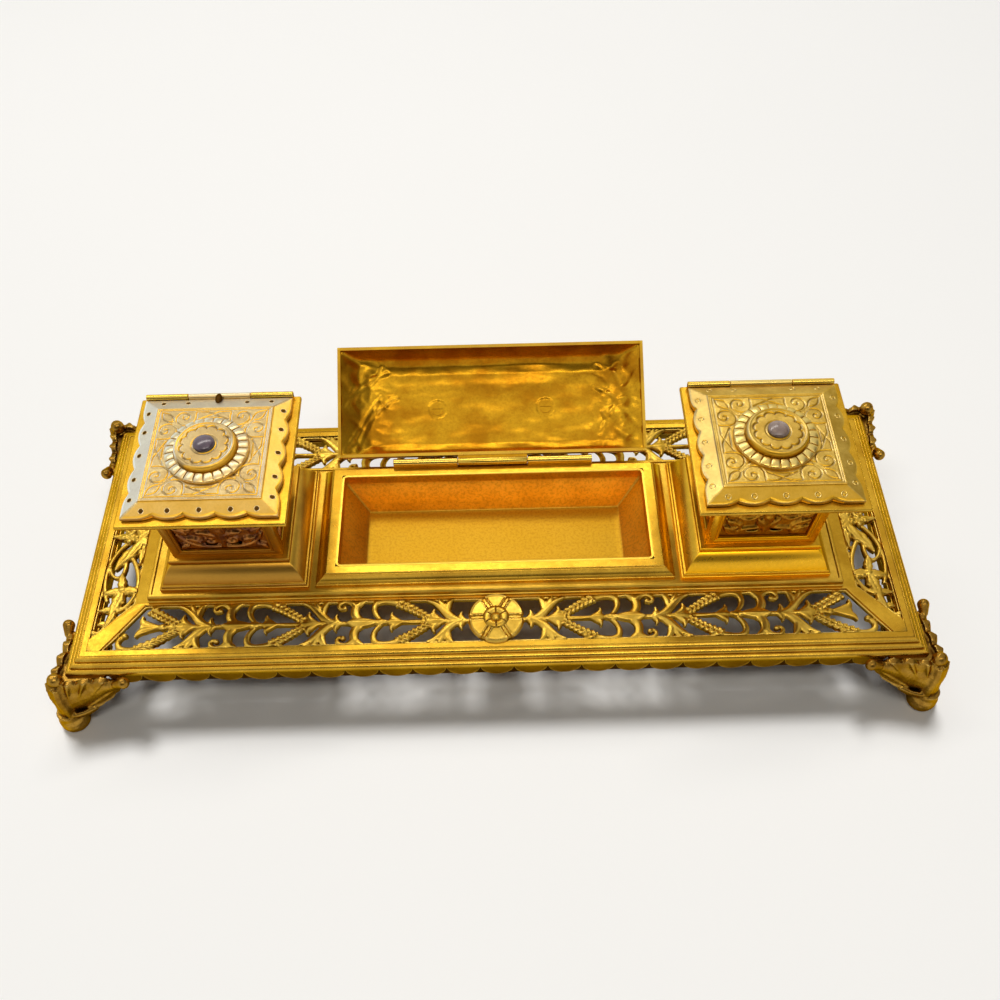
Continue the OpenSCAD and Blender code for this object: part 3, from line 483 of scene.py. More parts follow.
def curve(controls, steps):
    """Points along a cubic curve in the plane, from its four control points."""
    p = np.array(controls, float)
    t = np.linspace(0, 1, steps + 1)[:, None]
    u = 1 - t
    return u ** 3 * p[0] + 3 * u * u * t * p[1] + 3 * u * t * t * p[2] + t ** 3 * p[3]


def across(line):
    """Unit vectors to the left of a line in the plane, one for each of its points."""
    way = np.gradient(np.array(line, float), axis=0)
    way /= np.maximum(np.linalg.norm(way, axis=1), 1e-9)[:, None]
    return np.stack([-way[:, 1], way[:, 0]], -1)


def strip(form, line, widths, z0, z1, crown=0.5, lift=(0,)):
    """A crowned strip along a line in the plane; widths and the ridge's height may change along it."""
    line = np.array(line, float)
    t = np.linspace(0, 1, len(line))
    widths, tops = (np.interp(t, np.linspace(0, 1, len(v)), v) for v in (widths, lift))
    section = ((-0.5, 0, 0), (-0.5, 1, 1), (-0.32, 1, 0.3), (0, 1, 0), (0.32, 1, 0.3), (0.5, 1, 1),
               (0.5, 0, 0))
    rings = [[(*(here + side * share * wide), z1 + top - drop * crown if high else z0)
              for share, high, drop in section]
             for here, side, wide, top in zip(line, across(line), widths, tops)]
    return form.rings(rings, ends=BOTH)


def circle(r, z, x=0, y=0, around=20):
    """A level ring of points."""
    a = np.linspace(0, 2 * math.pi, around, False)
    return np.stack([x + r * np.cos(a), y + r * np.sin(a), z + 0 * a], -1)


def dome(form, x, y, z, r, h, steps, around, down):
    """A domed boss, with a short wall under it."""
    rings = [circle(r, z - down, x, y, around)]
    for b in np.linspace(0, math.pi / 2, steps, False):
        rings.append(circle(r * math.cos(b), z + h * math.sin(b), x, y, around))
    return form.rings(rings, ends=BOTH)


def ball(form, place, r, squash=(1, 1, 1), around=16):
    rings = [np.array(place) + circle(math.sin(b), -math.cos(b), around=around) * r * np.array(squash)
             for b in np.linspace(0, math.pi, around // 2 + 1)[1:-1]]
    return form.rings(rings, ends=BOTH)


def turned_shape(form, profile, x=0, y=0, around=96, wave=None):
    """A lathe-turned shape from [radius, z] points; wave(radius, angle) lifts its surface."""
    angles = np.linspace(0, 2 * math.pi, around, False)
    return form.rings([circle(r, z + (wave(r, angles) if wave else 0), x, y, around) for r, z in profile],
                      ends=BOTH)


def barrel(form, x0, x1, y, z, r):
    """A hinge knuckle along X with eased ends."""
    ease, angles = 0.15, np.linspace(0, 2 * math.pi, 20, False)
    rings = [np.stack([x + 0 * angles, y + s * np.cos(angles), z + s * np.sin(angles)], -1)
             for x, s in ((x0, r - ease), (x0 + ease, r), (x1 - ease, r), (x1, r - ease))]
    return form.rings(rings, ends=BOTH)


def block(form, x0, x1, y0, y1, z0, z1):
    return form.rings([[(x0, y0, z), (x1, y0, z), (x1, y1, z), (x0, y1, z)] for z in (z0, z1)],
                      ends=BOTH)


# ---------------------------------------------------------------- sizes of the object

BASE_X, BASE_Y = 165.0, 61.0
RIM_LOW, RIM_BORDER, RIM_BACK = 26, 8.4, 9.9
REED_LOW, REED_H, REED_STEP = 27, 4.4 / 3, 2
WEB_LOW, WEB_TOP = 29.0, 31.4
OPEN_X, OPEN_Y = 156.6, 52.6
FRONT_OUT, FRONT_IN, FRONT_NEAR = 151.7, 137.6, 32.7
SIDE_OUT, SIDE_IN, SIDE_NEAR = 47.7, 31.7, 141.7
REACH = (OPEN_Y - FRONT_NEAR) / 2
PANEL_Y = (OPEN_Y + FRONT_NEAR) / 2
LATTICE = WEB_TOP - 2.2
APRON_H, APRON_X, APRON_Y = 7.5, BASE_X - 1.8, BASE_Y - 1.8
SCALLOP_W = 13.2
PLATFORM_X, PLATFORM_Y, FLOOR = 136.4, 32.2, 34.6
SLOT_X, SLOT_Y = 62.4, 22.8
FRAME_X, FRAME_Y, FRAME_TOP = 70.3, 28.3, 40.2
TRAY_X, TRAY_Y, TRAY_FLOOR, TRAY_SHEET = 61.2, 21.6, 24.2, 0.9
WELL_X = 101.8


# ---------------------------------------------------------------- base

def base_piece():
    """The rim: three reeds that step in and up to a flat band."""
    outline = [(RIM_BACK, RIM_LOW), (0, RIM_LOW), (0, REED_LOW - 0.05)]
    for i in range(3):
        x, top = i * REED_STEP, REED_LOW + (i + 1) * REED_H - 0.16
        outline += [(x + 1.6 * (1 - math.cos(a)), REED_LOW + (i + math.sin(a)) * REED_H)
                    for a in np.radians(np.linspace(0, 90, 6))]
        outline += [(x + 1.72, top), (x + 1.98, top)]
    outline += [(6.1, WEB_TOP), (RIM_BORDER, WEB_TOP), (RIM_BORDER, WEB_LOW), (RIM_BACK, WEB_LOW)]
    return moulding(Form(), BASE_X, BASE_Y, outline, 0.5, 0.14, True)


def flat_plate(name, outer, holes, z0, z1, ease=0.15):
    """A flat plate with holes and eased edges, as a form."""
    data = bpy.data.curves.new(name, "CURVE")
    data.dimensions, data.fill_mode = "2D", "BOTH"
    for loop in [outer] + holes:
        spline = data.splines.new("POLY")
        spline.points.add(len(loop) - 1)
        for point, (x, y) in zip(spline.points, loop):
            point.co = (x, y, 0, 1)
        spline.use_cyclic_u = True
    data.extrude, data.bevel_depth = (z1 - z0) / 2 - ease, ease
    data.bevel_resolution, data.offset = 1, -ease
    made = bpy.data.objects.new(name, data)
    bpy.context.scene.collection.objects.link(made)
    mesh = bpy.data.meshes.new_from_object(made.evaluated_get(bpy.context.evaluated_depsgraph_get()))
    form = Form().add([(v.co.x, v.co.y, v.co.z + (z0 + z1) / 2) for v in mesh.vertices],
                      [tuple(p.vertices) for p in mesh.polygons])
    bpy.data.objects.remove(made)
    bpy.data.curves.remove(data)
    bpy.data.meshes.remove(mesh)
    return form


def mirrored_loops(loop):
    return [[(sx * x, sy * y) for x, y in loop] for sx, sy in ((1, 1), (-1, -1))]


def box_loop(x, y):
    return [(x, y), (-x, y), (-x, -y), (x, -y)]


front_hole = [(-FRONT_OUT, -OPEN_Y), (FRONT_OUT, -OPEN_Y), (FRONT_IN, -FRONT_NEAR), (-FRONT_IN, -FRONT_NEAR)]
side_hole = [(OPEN_X, -SIDE_OUT), (OPEN_X, SIDE_OUT), (SIDE_NEAR, SIDE_IN), (SIDE_NEAR, -SIDE_IN)]
openings = mirrored_loops(front_hole) + mirrored_loops(side_hole) + [box_loop(FRAME_X, FRAME_Y - 0.1)]
base = base_piece()
base.join(flat_plate("web", box_loop(OPEN_X + 0.4, OPEN_Y + 0.4), openings, WEB_LOW, WEB_TOP))
piece("base_rim", base, "base", "gilt_satin", GILT, "base_frame")


def apron_form(length):
    """A wall of scallops along X, its face at -Y, hanging from the rim."""
    count = round(length / SCALLOP_W)
    pitch = length / count
    form = Form()
    angles = np.radians(np.linspace(180, 360, 33))
    wide = np.cos(angles) * 0.5 * pitch
    down = np.abs(np.sin(angles)) ** 0.8 * APRON_H
    # from the back over a narrow raised hem to the scallop's middle
    section = ((1, 0.1), (1, -0.68), (0.985, -0.8), (0.955, -0.8), (0.93, -0.62), (0.9, -0.66), (0.6, -0.7),
               (0.3, -0.72), (0.02, -0.72))
    for i in range(count):
        x = (i + 0.5) * pitch - length / 2
        form.rings([np.stack([x + wide * share, out + 0 * angles, RIM_LOW - down * share], -1)
                    for share, out in section], around=False)
    return form


def backing_form(length):
    """The plain strip behind a row of scallops, painted dark as the shade in their notches."""
    return block(Form(), -length / 2, length / 2, -0.35, 1, RIM_LOW - APRON_H + 0.5, RIM_LOW)


def round_base(make, front_length, right_length):
    """A long form under the front and back of the rim, and a short one under its ends."""
    return four_sides(shifted(make(front_length), 0, -APRON_Y),
                      shifted(turned(make(right_length), 90), APRON_X))


aprons, backings = round_base(apron_form, 300, 92), round_base(backing_form, 300, 92)
for name in aprons:
    piece("scallops_" + name, aprons[name], "base", "gilt_shaded", GILT_SCALLOP, "apron_" + name)
    # the strip behind is painted shade in the notches of the scallops
    piece("strip_behind_" + name, backings[name], "base", "gilt_shaded", GILT_PAINTED_SHADE)


# ---------------------------------------------------------------- pierced panels

FIRST = REACH + 0.4 + 1.8
UNIT = ((FRONT_OUT + FRONT_IN) / 2 - FIRST) / 2.725


def spot(s, t, start):
    """A place in one repeat of the arabesque: s along it, t from its stem to the border."""
    return (start + s * UNIT, t * REACH)


def husks(form, line, w0, w1, count, z0, z1):
    """A chain of husks along a line: pointed pairs that overlap like ears of wheat."""
    t = np.linspace(0, 1, count * 6 + 1)
    length = np.linspace(0, 1, len(line))
    dense = np.stack([np.interp(t, length, np.array(line)[:, k]) for k in (0, 1)], -1)
    rings = []
    for here, side, along in zip(dense, across(dense), t):
        ring = []
        for share, crown in ((-1, 0.5), (-0.7, 0.15), (-0.35, 0), (0, 0.35), (0.35, 0), (0.7, 0.15),
                             (1, 0.5)):
            swell = ((along * count + 0.8 * abs(share)) % 1.0) ** 0.8
            reach = (w0 + (w1 - w0) * along) / 2 * share * (0.78 + 0.34 * swell)
            ring.append((*(here + side * reach), z1 - 0.7 - crown + 0.95 * swell))
        rings.append(ring + [(*ring[-1][:2], z0), (*ring[0][:2], z0)])
    return form.rings(rings, ends=BOTH)


def petal(form, line, w, z0, z1, tip=0.25, crown=0.6, lift=(0,)):
    """A leaf along a line, widest a third of the way, with a pointed end."""
    t = np.linspace(0, 1, len(line))
    shape = np.interp(t, [0, 0.15, 0.4, 0.7, 0.9, 1], [0.35, 0.75, 1, 0.78, 0.42, tip])
    strip(form, line, w * shape, z0, z1, crown, lift)


def bell(form, base, tip, wide, flare, start, z0, z1):
    """A lily or bellflower on the stem: a swelling body and two tips that curl outwards to flare."""
    span = tip - base
    t = np.linspace(0, 1, 14)
    widths = wide * np.interp(t, [0, 0.35, 0.62, 0.82, 0.94, 1], [0.3, 0.42, 0.78, 1, 0.8, 0.3])
    strip(form, [spot(base + span * u, 0, start) for u in t], widths, z0, z1, 0.9, (0, 0.1, 0.35, 0.5, 0.2))
    for side in (1, -1):
        controls = ((base + span * 0.4, 0.06), (base + span * 0.72, 0.12),
                    (flare[0] + span * 0.04, flare[1] * 0.5), (flare[0] - span * 0.08, flare[1]))
        line = curve([spot(s, t * side, start) for s, t in controls], 12)
        petal(form, line, wide * 0.6, z0, z1 + 0.15, 0.3, 0.7, (0, 0.1, 0.25, 0.1))


def curl(form, line, widths, z0, z1, end_ball=None):
    """A scroll of leaf stem, perhaps with a rolled end."""
    strip(form, line, widths, z0, z1, 0.6)
    if end_ball:
        dome(form, line[-1][0], line[-1][1], z1 - 0.5, end_ball, 0.75, 4, 14, z1 - 0.5 - z0)


def repeat(start, last):
    """One repeat of the arabesque; the last one ends in a trumpet flower."""
    z0, z1 = LATTICE, LATTICE + 2.0
    form = Form()

    def path(controls, side, steps):
        return curve([spot(s, t * side, start) for s, t in controls], steps)

    def leaf(side, steps, wide, tip, up, *controls, crown=0.6):
        petal(form, path(controls, side, steps), wide, z0, z1 + up, tip, crown)

    def ear(side, steps, w0, w1, count, *controls):
        husks(form, path(controls, side, steps), w0, w1, count, z0, z1 + 0.5)

    def scroll(side, steps, widths, up, *controls, rolled=None):
        curl(form, path(controls, side, steps), widths, z0, z1 + up, rolled)

    for side in (1, -1):
        # leaflets, then a forked leaf that runs to the border and spreads along it
        leaf(side, 8, 2.6, 0.2, 0, (-0.01, 0), (0.03, 0.1), (0.045, 0.2), (0.02, 0.4))
        leaf(side, 22, 3.7, 0.3, 0.15, (0.02, 0.02), (0.15, 0.08), (0.155, 0.72), (0.3, 0.93), crown=0.7)
        leaf(side, 14, 3.3, 0.45, 0, (0.12, 0.3), (0.16, 0.55), (0.13, 0.85), (0.085, 1.02))
        leaf(side, 10, 3.0, 0.4, 0, (0.14, 0.45), (0.17, 0.65), (0.2, 0.85), (0.205, 1.02))
    bell(form, 0.09, 0.3, 5.2, (0.258, 0.52), start, z0, z1)
    if last:
        ear(1, 24, 3.2, 4.4, 6, (0.29, 0.14), (0.36, 0.3), (0.44, 0.52), (0.53, 0.8))
        ear(1, 26, 3.2, 4.0, 7, (0.29, -0.14), (0.38, -0.42), (0.46, -0.74), (0.6, -0.98))
        scroll(1, 14, (3.0, 2.6, 2.2, 1.8), 0, (0.58, -0.94), (0.75, -1.14), (0.79, -0.56), (0.7, -0.34),
               rolled=1.2)
        scroll(1, 12, (1.8, 1.8, 2.4, 4.6, 5.0), 0.1, (0.28, 0), (0.4, 0), (0.5, 0.01), (0.59, 0.06))
        dome(form, *spot(0.41, 0, start), z1 - 0.4, 1.5, 0.9, 4, 14, z1 - 0.4 - z0)
        leaf(1, 14, 3.4, 0.3, 0.3, (0.44, 0.03), (0.55, 0.1), (0.6, 0.2), (0.575, 0.5))
        leaf(1, 14, 3.2, 0.3, 0.3, (0.44, -0.02), (0.56, -0.06), (0.6, -0.16), (0.615, -0.44))
        return form
    for side in (1, -1):
        ear(side, 26, 3.0, 4.0, 7, (0.285, 0.15), (0.37, 0.4), (0.44, 0.68), (0.54, 0.88))
        scroll(side, 16, (2.9, 2.7, 2.4), 0.1, (0.52, 0.85), (0.64, 1.1), (0.735, 1.0), (0.725, 0.58))
        scroll(side, 12, (2.4, 2.0, 1.4), 0, (0.727, 0.62), (0.72, 0.38), (0.7, 0.22), (0.655, 0.06))
        # a scroll on each side of the bud, with one arm each way along the border
        scroll(side, 16, (2.6, 3.4, 3.6, 3.2), 0.15, (0.79, 0.06), (0.875, 0.14), (0.9, 0.42), (0.868, 0.82))
        scroll(side, 14, (3.0, 2.4, 1.7), 0.1, (0.872, 0.62), (0.885, 0.98), (0.97, 1.12), (1.012, 0.82))
        scroll(side, 10, (1.7, 1.3), 0, (1.01, 0.84), (1.025, 0.68), (0.985, 0.56), (0.965, 0.68),
               rolled=1.05)
        leaf(side, 14, 3.3, 0.3, 0, (0.88, 0.62), (0.868, 0.84), (0.835, 0.97), (0.785, 1.0))
        leaf(side, 8, 2.6, 0.4, 0, (0.885, 0.7), (0.9, 0.85), (0.915, 0.95), (0.925, 1.03))
    bell(form, 0.44, 0.615, 4.2, (0.592, 0.42), start, z0, z1)
    for s, r in ((0.635, 1.2), (0.665, 1.6), (0.7, 1.3)):
        dome(form, *spot(s, 0, start), z1 - 0.5, r, 1.0, 4, 16, z1 - 0.5 - z0)
    t = np.linspace(0, 1, 18)
    for t0, off in ((0, -0.09), (0, 0.09), (0.02, 0)):
        line = [spot(0.69 + 0.25 * u, off * math.sin(math.pi * min(1, u * 1.1)) * 1.2, start) for u in t]
        widths = np.interp(t, [0, 0.3, 0.55, 0.78, 0.93, 1], [1.2, 1.6, 2.6, 3.1, 2.2, 0.6])
        strip(form, line, widths, z0, z1 + 0.35 + t0 * 10, 0.7)
    return form


def inner_sides(loop):
    """Each side of a loop in the plane, with the unit vector from it into the loop."""
    loop = [np.array(p, float) for p in loop]
    middle = sum(loop) / len(loop)
    for a, b in zip(loop, loop[1:] + loop[:1]):
        way = (b - a) / np.linalg.norm(b - a)
        inward = np.array([-way[1], way[0]])
        yield a, b, -inward if np.dot(middle - a, inward) < 0 else inward


def border(form, loop, width, z0, z1):
    """A low lip along the inside of a panel's outline."""
    for a, b, inward in inner_sides(loop):
        line = [a + inward * width / 2 + (b - a) * t for t in np.linspace(0, 1, 5)]
        strip(form, line, [width], z0, z1, 0.25)
    return form


def front_panel():
    """Three repeats each way from the middle, on a stem that runs through them."""
    half = Form()
    for i in range(3):
        half.join(repeat(FIRST + i * UNIT, i == 2))
    form = Form().join(half).join(mirror_x(half))
    stem = FIRST + 2.33 * UNIT
    line = [(x, 0) for x in np.linspace(-stem, stem, 120)]
    strip(form, line, [1.8], LATTICE, LATTICE + 1.9, 0.5)
    turned_shape(form, [(REACH + 0.2, LATTICE), (REACH + 0.2, LATTICE + 1.6), (REACH - 1, LATTICE + 1.8)],
                 around=48)
    form = shifted(form, 0, -PANEL_Y)
    return border(form, front_hole, 0.9, LATTICE, LATTICE + 1.7)


def clipped(form, loop):
    """Points outside a panel's opening are brought back to its edge."""
    def inside(points):
        points = points.copy()
        for a, _, inward in inner_sides(loop):
            far = (points[:, :2] - a) @ inward
            points[:, :2] -= np.minimum(far - 0.05, 0)[:, None] * inward
        return points

    return form.moved(inside)


def end_spot(u, v):
    """A place on an end panel: u across it from the platform, v from its middle to the inner corner."""
    return (SIDE_NEAR + u * (OPEN_X - SIDE_NEAR), v * SIDE_IN)


def leaf_blade(form, a, b, wide, z0, z1, bend):
    """A veined leaf from a to b: two crowned halves with a furrow between them."""
    a, b = np.array(a, float), np.array(b, float)
    way = b - a
    side = np.array([-way[1], way[0]]) / np.linalg.norm(way)
    line = curve([a, a + way * 0.33 + side * bend, a + way * 0.66 + side * bend, b], 10)
    t = np.linspace(0, 1, len(line))
    half = wide / 2 * np.interp(t, [0, 0.15, 0.4, 0.7, 0.9, 1], [0.25, 0.75, 1, 0.75, 0.35, 0.06])
    half = half * (1 + 0.12 * np.sin(t * 22))
    section = ((-1, 0, 0), (-1, 1, 0.75), (-0.55, 1, 0.05), (-0.12, 1, 0.1), (0, 1, 0.4), (0.12, 1, 0.1),
               (0.55, 1, 0.05), (1, 1, 0.75), (1, 0, 0))
    rings = [[(*(here + side * share * reach), z1 - drop * 0.9 + 0.25 * math.sin(math.pi * along)
               if high else z0)
              for share, high, drop in section]
             for here, side, reach, along in zip(line, across(line), half, t)]
    return form.rings(rings, ends=BOTH)


def end_panel():
    """Veined leaves, scrolls and a flower: one half and its mirror image, then what lies across both."""
    z0, z1 = LATTICE, LATTICE + 2.1
    half = Form()

    def leaf(target, a, b, wide, up, bend=0.0):
        leaf_blade(target, end_spot(*a), end_spot(*b), wide, z0, z1 + up, bend)

    def scroll(steps, widths, rolled, *controls):
        curl(half, curve([end_spot(*at) for at in controls], steps), widths, z0, z1, rolled)

    leaf(half, (-0.05, 0.12), (0.32, -0.08), 4.4, 0.5, 0.5)
    leaf(half, (0.15, 0.02), (0.52, 0.36), 5, 0.6, 0.8)
    leaf(half, (0.3, 0.12), (0.74, 0.5), 4.6, 0.3, -0.7)
    leaf(half, (0.12, 0.1), (0.1, 0.42), 3.4, 0.2, 0.5)
    scroll(20, (1.9, 1.6), None, (0.5, 0.04), (0.95, 0.25), (1.1, 0.6), (0.78, 0.96))
    scroll(20, (2.0, 1.8, 1.5), None, (0.36, 0.3), (-0.08, 0.6), (-0.06, 0.98), (0.45, 1.1))
    scroll(16, (1.8, 1.4), 0.9, (0.5, 0.36), (0.4, 0.68), (0.8, 0.66), (0.9, 0.44))
    # the flower
    for tip, wide in (((-0.04, 0.82), 4.4), ((0.52, 0.54), 3.8), ((0.88, 0.84), 4.2), ((0.6, 1.18), 5.4)):
        leaf(half, (0.42, 0.8), tip, wide, 0.4, 0.2)
    dome(half, *end_spot(0.42, 0.8), z1, 1.6, 0.9, 5, 18, z1 - z0)
    leaf(half, (0.4, 1.06), (0.94, 1.1), 3.4, 0.2)
    leaf(half, (0.5, 1.1), (0.66, 1.34), 3.4, 0.2)
    scroll(14, (2.0, 1.6), 1.1, (0.6, 1.08), (0.66, 1.3), (0.7, 1.44), (0.96, 1.4))
    leaf(half, (0.68, 1.26), (0.9, 1.3), 2.4, 0)
    form = Form().join(half).join(mirror_y(half))
    # the middle leaf and its berries
    leaf(form, (0.1, -0.03), (1.05, 0.03), 4.2, 0.5, 0.6)
    for u, v in ((0.32, 0.0), (0.5, 0.05), (0.5, -0.06), (0.68, 0.0), (0.42, 0.1), (0.6, 0.11)):
        dome(form, *end_spot(u, v), z1 + 0.3, 1.2, 0.9, 5, 14, 1.6)
    return border(clipped(form, side_hole), side_hole, 0.9, LATTICE, LATTICE + 1.7)


panels = four_sides(clipped(front_panel(), front_hole), end_panel())
for name, form in panels.items():
    piece("arabesque_" + name, form, "base", "gilt_pierced", GILT_CAST, "grille_" + name, fuse=0.28, soften=1,
          crease=60, rounds=3)


def rosette():
    """Six broad petals round a smaller six-petalled flower, on a flange over the panel's borders."""
    top, big, around = WEB_TOP, 10.9, 192
    a = np.linspace(0, 2 * math.pi, around, False)
    from_rib = np.abs((np.degrees(a) + 30) % 60 - 30)
    hem = 1 - 0.075 * np.clip(1 - from_rib / 11, 0, 1) ** 1.5
    rings = [np.stack([r * np.cos(a) * hem, r * np.sin(a) * hem, z + 0 * a], -1)
             for r, z in ((9.3, LATTICE + 2), (9.3, top), (big, top), (big + 0.05, top + 0.35))]
    for share in np.concatenate([[0.995, 0.98, 0.955], np.linspace(0.93, 0.48, 18), [0.465, 0.455, 0.44],
                                 np.linspace(0.42, 0.17, 12), [0.155, 0.14], np.linspace(0.12, 0.01, 5)]):
        r = share * big
        if share > 0.46:
            u = (share - 0.46) / 0.54
            off = np.radians(from_rib) * r
            groove = np.clip(1 - np.abs(off - 0.62) / 0.22, 0, 1)
            lip = np.clip(1 - np.abs(off - 1.15) / 0.45, 0, 1) + np.clip(1 - abs(u - 0.86) / 0.09, 0, 1)
            z = top + 0.5 + 0.95 * min(1, (1 - u) * 9) ** 0.5 - 0.3 * u - 0.5 * groove
            z = z + 0.3 * np.clip(lip, 0, 1) * (off > 0.8) - 0.1 * (off < 0.4)
            radius = r * (1 - (1 - hem) * min(1, u * 1.6))
        elif share > 0.16:
            u = (share - 0.16) / 0.3
            off = np.radians(30 - from_rib) * r
            groove = np.clip(1 - off / 0.34, 0, 1)
            z = top + 1.35 + 0.75 * math.sin(math.pi * min(1, u * 1.05)) ** 0.6 * (1 - 0.75 * groove)
            radius = r
        else:
            z = top + 1.7 + 0.75 * math.cos(share / 0.16 * math.pi / 2)
            radius = r
        rings.append(np.stack([radius * np.cos(a), radius * np.sin(a), z + 0 * a], -1))
    return shifted(Form().rings(rings, ends=BOTH), 0, -PANEL_Y)


flower_front = rosette()
piece("rosette_flower_front", flower_front, "base", "gilt_pierced", GILT_CAST, "rosette_front", crease=40)
piece("rosette_flower_back", mirror_y(flower_front), "base", "gilt_pierced", GILT_CAST, "rosette_back",
      crease=40)


# ---------------------------------------------------------------- feet

def ribbon3(form, points, widths, thick, face):
    """A leaf lobe through points in space, its crowned side towards face."""
    pts = np.array(points, float)
    t = np.linspace(0, 1, len(pts))
    fine = np.linspace(0, 1, 14)
    line = np.stack([np.interp(fine, t, pts[:, k]) for k in range(3)], -1)
    for _ in range(2):
        line[1:-1] = (line[:-2] + 2 * line[1:-1] + line[2:]) / 4
    wide = np.interp(fine, np.linspace(0, 1, len(widths)), widths)
    way = np.gradient(line, axis=0)
    way /= np.linalg.norm(way, axis=1)[:, None]
    out = np.array(face, float)
    side = np.cross(way, out)
    side /= np.linalg.norm(side, axis=1)[:, None]
    up = np.cross(side, way)
    rings = []
    for i in range(len(line)):
        rings.append([line[i] + side[i] * off * wide[i] + up[i] * high * thick
                      for off, high in ((-0.5, -0.35), (-0.48, 0.2), (-0.28, 0.62), (0, 0.5), (0.28, 0.62),
                                           (0.48, 0.2), (0.5, -0.35))])
    return form.rings(rings, ends=BOTH)


def ellipsoids(form, stations, around=18):
    """Swelling bodies at stations of place and three radii, with more set between neighbours."""
    stations = [np.array(station, float) for station in stations]
    for a, b in zip(stations, stations[1:] or stations):
        for t in (0, 0.25, 0.5, 0.75, 1):
            here = a + (b - a) * t
            ball(form, here[:3], here[3], (1, here[4] / here[3], here[5] / here[3]), around)
    return form


ROOT_X, ROOT_Z = 5.2, 5.0
LOBES = (30.0, 42.5, 54.0, 66.0, 79.0, 94.0)


def wing_sheet():
    """The acanthus leaf of a wing: flutes fan out from its root and end in curled lobes."""
    rings = []
    for angle in np.linspace(17, 93, 115):
        a = math.radians(angle)
        reach = np.interp(angle, [17, 22, 29, 33, 38, 48.5, 60, 72, 84, 93],
                          [8.5, 15.5, 24.5, 30.5, 33.0, 30.0, 26.8, 24.6, 23.0, 22.6])
        lobe, ridge = 0.0, 0.5 + 0.5 * math.cos(math.radians(angle - 17) * 72)
        for low, high in zip(LOBES, LOBES[1:]):
            if low <= angle <= high:
                u = (angle - low) / (high - low)
                lobe = abs(math.sin(math.pi * u)) ** 0.55
                ridge = 0.55 * lobe + 0.45 * (0.5 + 0.5 * math.cos(2 * math.pi * (u - 0.5) * 2))
        if angle > 40:
            reach *= 0.92 + 0.08 * lobe
        front, back = [], []
        for share in np.linspace(0, 1, 26):
            r = 3 + (reach - 3) * share
            x, z = ROOT_X - r * math.cos(a), ROOT_Z + r * math.sin(a)
            deep = 2.7 + 3.1 * np.clip((x + 22) / 27, 0, 1) ** 1.5
            swell = 1.2 * math.sin(math.pi * share) + (0.4 * lobe * math.exp(-((share - 0.9) / 0.14) ** 2)
                                                       if angle > 40 else 0)
            out = deep + swell + 1.6 * (ridge - 0.7) * min(1, r / 7)
            front.append((x, -out, z))
            back.append((x, -(deep + swell - 2.4), z))
        rings.append(front + back[::-1])
    return Form().rings(rings, ends=BOTH)


def foot_wing():
    """The wing along -X of a foot at the origin corner, outward as -Y."""
    form = wing_sheet()
    ellipsoids(form, [(3.6, -3.6, 15, 4.4, 4.4, 8), (-1.5, -3.6, 16.6, 4, 3.0, 7.6),
                      (-7.5, -3.0, 19.4, 4, 2.4, 5.4), (-13, -2.7, 22.2, 3.6, 2.0, 3.4),
                      (-18.5, -2.6, 24.6, 2.6, 1.8, 1.9)])
    ellipsoids(form, [(-19.4, -3.4, 25.6, 1.5, 1.5, 1.5), (-22.8, -3.4, 26.8, 2.3, 2.3, 2.3)], 20)
    return form


def foot_form():
    """The foot at the front right corner."""
    wing = foot_wing()
    other = wing.moved(lambda p: np.stack([-p[:, 1], -p[:, 0], p[:, 2]], -1), True)
    form = Form().join(wing).join(other)
    # the veined leaf down the corner, and its curled neighbours
    ellipsoids(form, [(3.6, -3.6, 20, 4.0, 4.0, 6), (5.0, -5.0, 11, 4.2, 4.2, 6)])
    ribbon3(form, [(3.2, -3.2, 27.6), (5.2, -5.2, 23), (6.0, -6.0, 16), (6.8, -6.8, 10), (7.4, -7.4, 6.8)],
            [3, 5.4, 6.6, 5.8, 2.8], 2.2, (1, -1, 0.1))
    for side in (1, -1):
        turn = (lambda x, y, z: (x, y, z)) if side > 0 else (lambda x, y, z: (-y, -x, z))
        ribbon3(form, [turn(3.0, -5.4, 26.8), turn(4.4, -6.8, 21), turn(4.6, -7.4, 15), turn(4.6, -7.8, 8.6)],
                [3, 4.8, 5.2, 4], 2.6, turn(0.6, -1, 0))
        # the hem behind the toe
        ribbon3(form, [turn(7.4, -7.4, 9.2), turn(3, -8.2, 8.4), turn(-2, -6.8, 8.6), turn(-6, -5.2, 10.4)],
                [4, 4.6, 4.2, 2.4], 1.6, turn(0, -1, -0.35))
    # the toe: a stout paw with rounded claws
    turned_shape(form, [(5.1, 0.0), (5.6, 0.5), (5.8, 2.4), (5.4, 4.8), (4.6, 6.6), (4.4, 9)], 6.1, -6.1, 40)
    for step in (-2, -1, 1, 2):
        a = math.radians(-45 + step * 36)
        ellipsoids(form, [(6.1 + 4.1 * math.cos(a), -6.1 + 4.1 * math.sin(a), 2.7, 1.8, 1.8, 2.6)], 14)
    ball(form, (2.6, -2.6, 28.6), 2.9)
    block(form, -14.5, 3, -3, 14.5, 23.8, 26)
    return shifted(form, BASE_X, -BASE_Y)


foot = foot_form()
for name, change, flip in (("front_right", (1, 1, 1), False), ("front_left", (-1, 1, 1), True),
                           ("back_right", (1, -1, 1), True), ("back_left", (-1, -1, 1), False)):
    form = foot.moved(lambda p: p * change, flip)
    piece("leaf_foot_" + name, form, "base", "gilt_feet", GILT_FOOT, "foot_" + name, fuse=0.32, soften=1,
          crease=60, rounds=3)


# ---------------------------------------------------------------- platform and tray

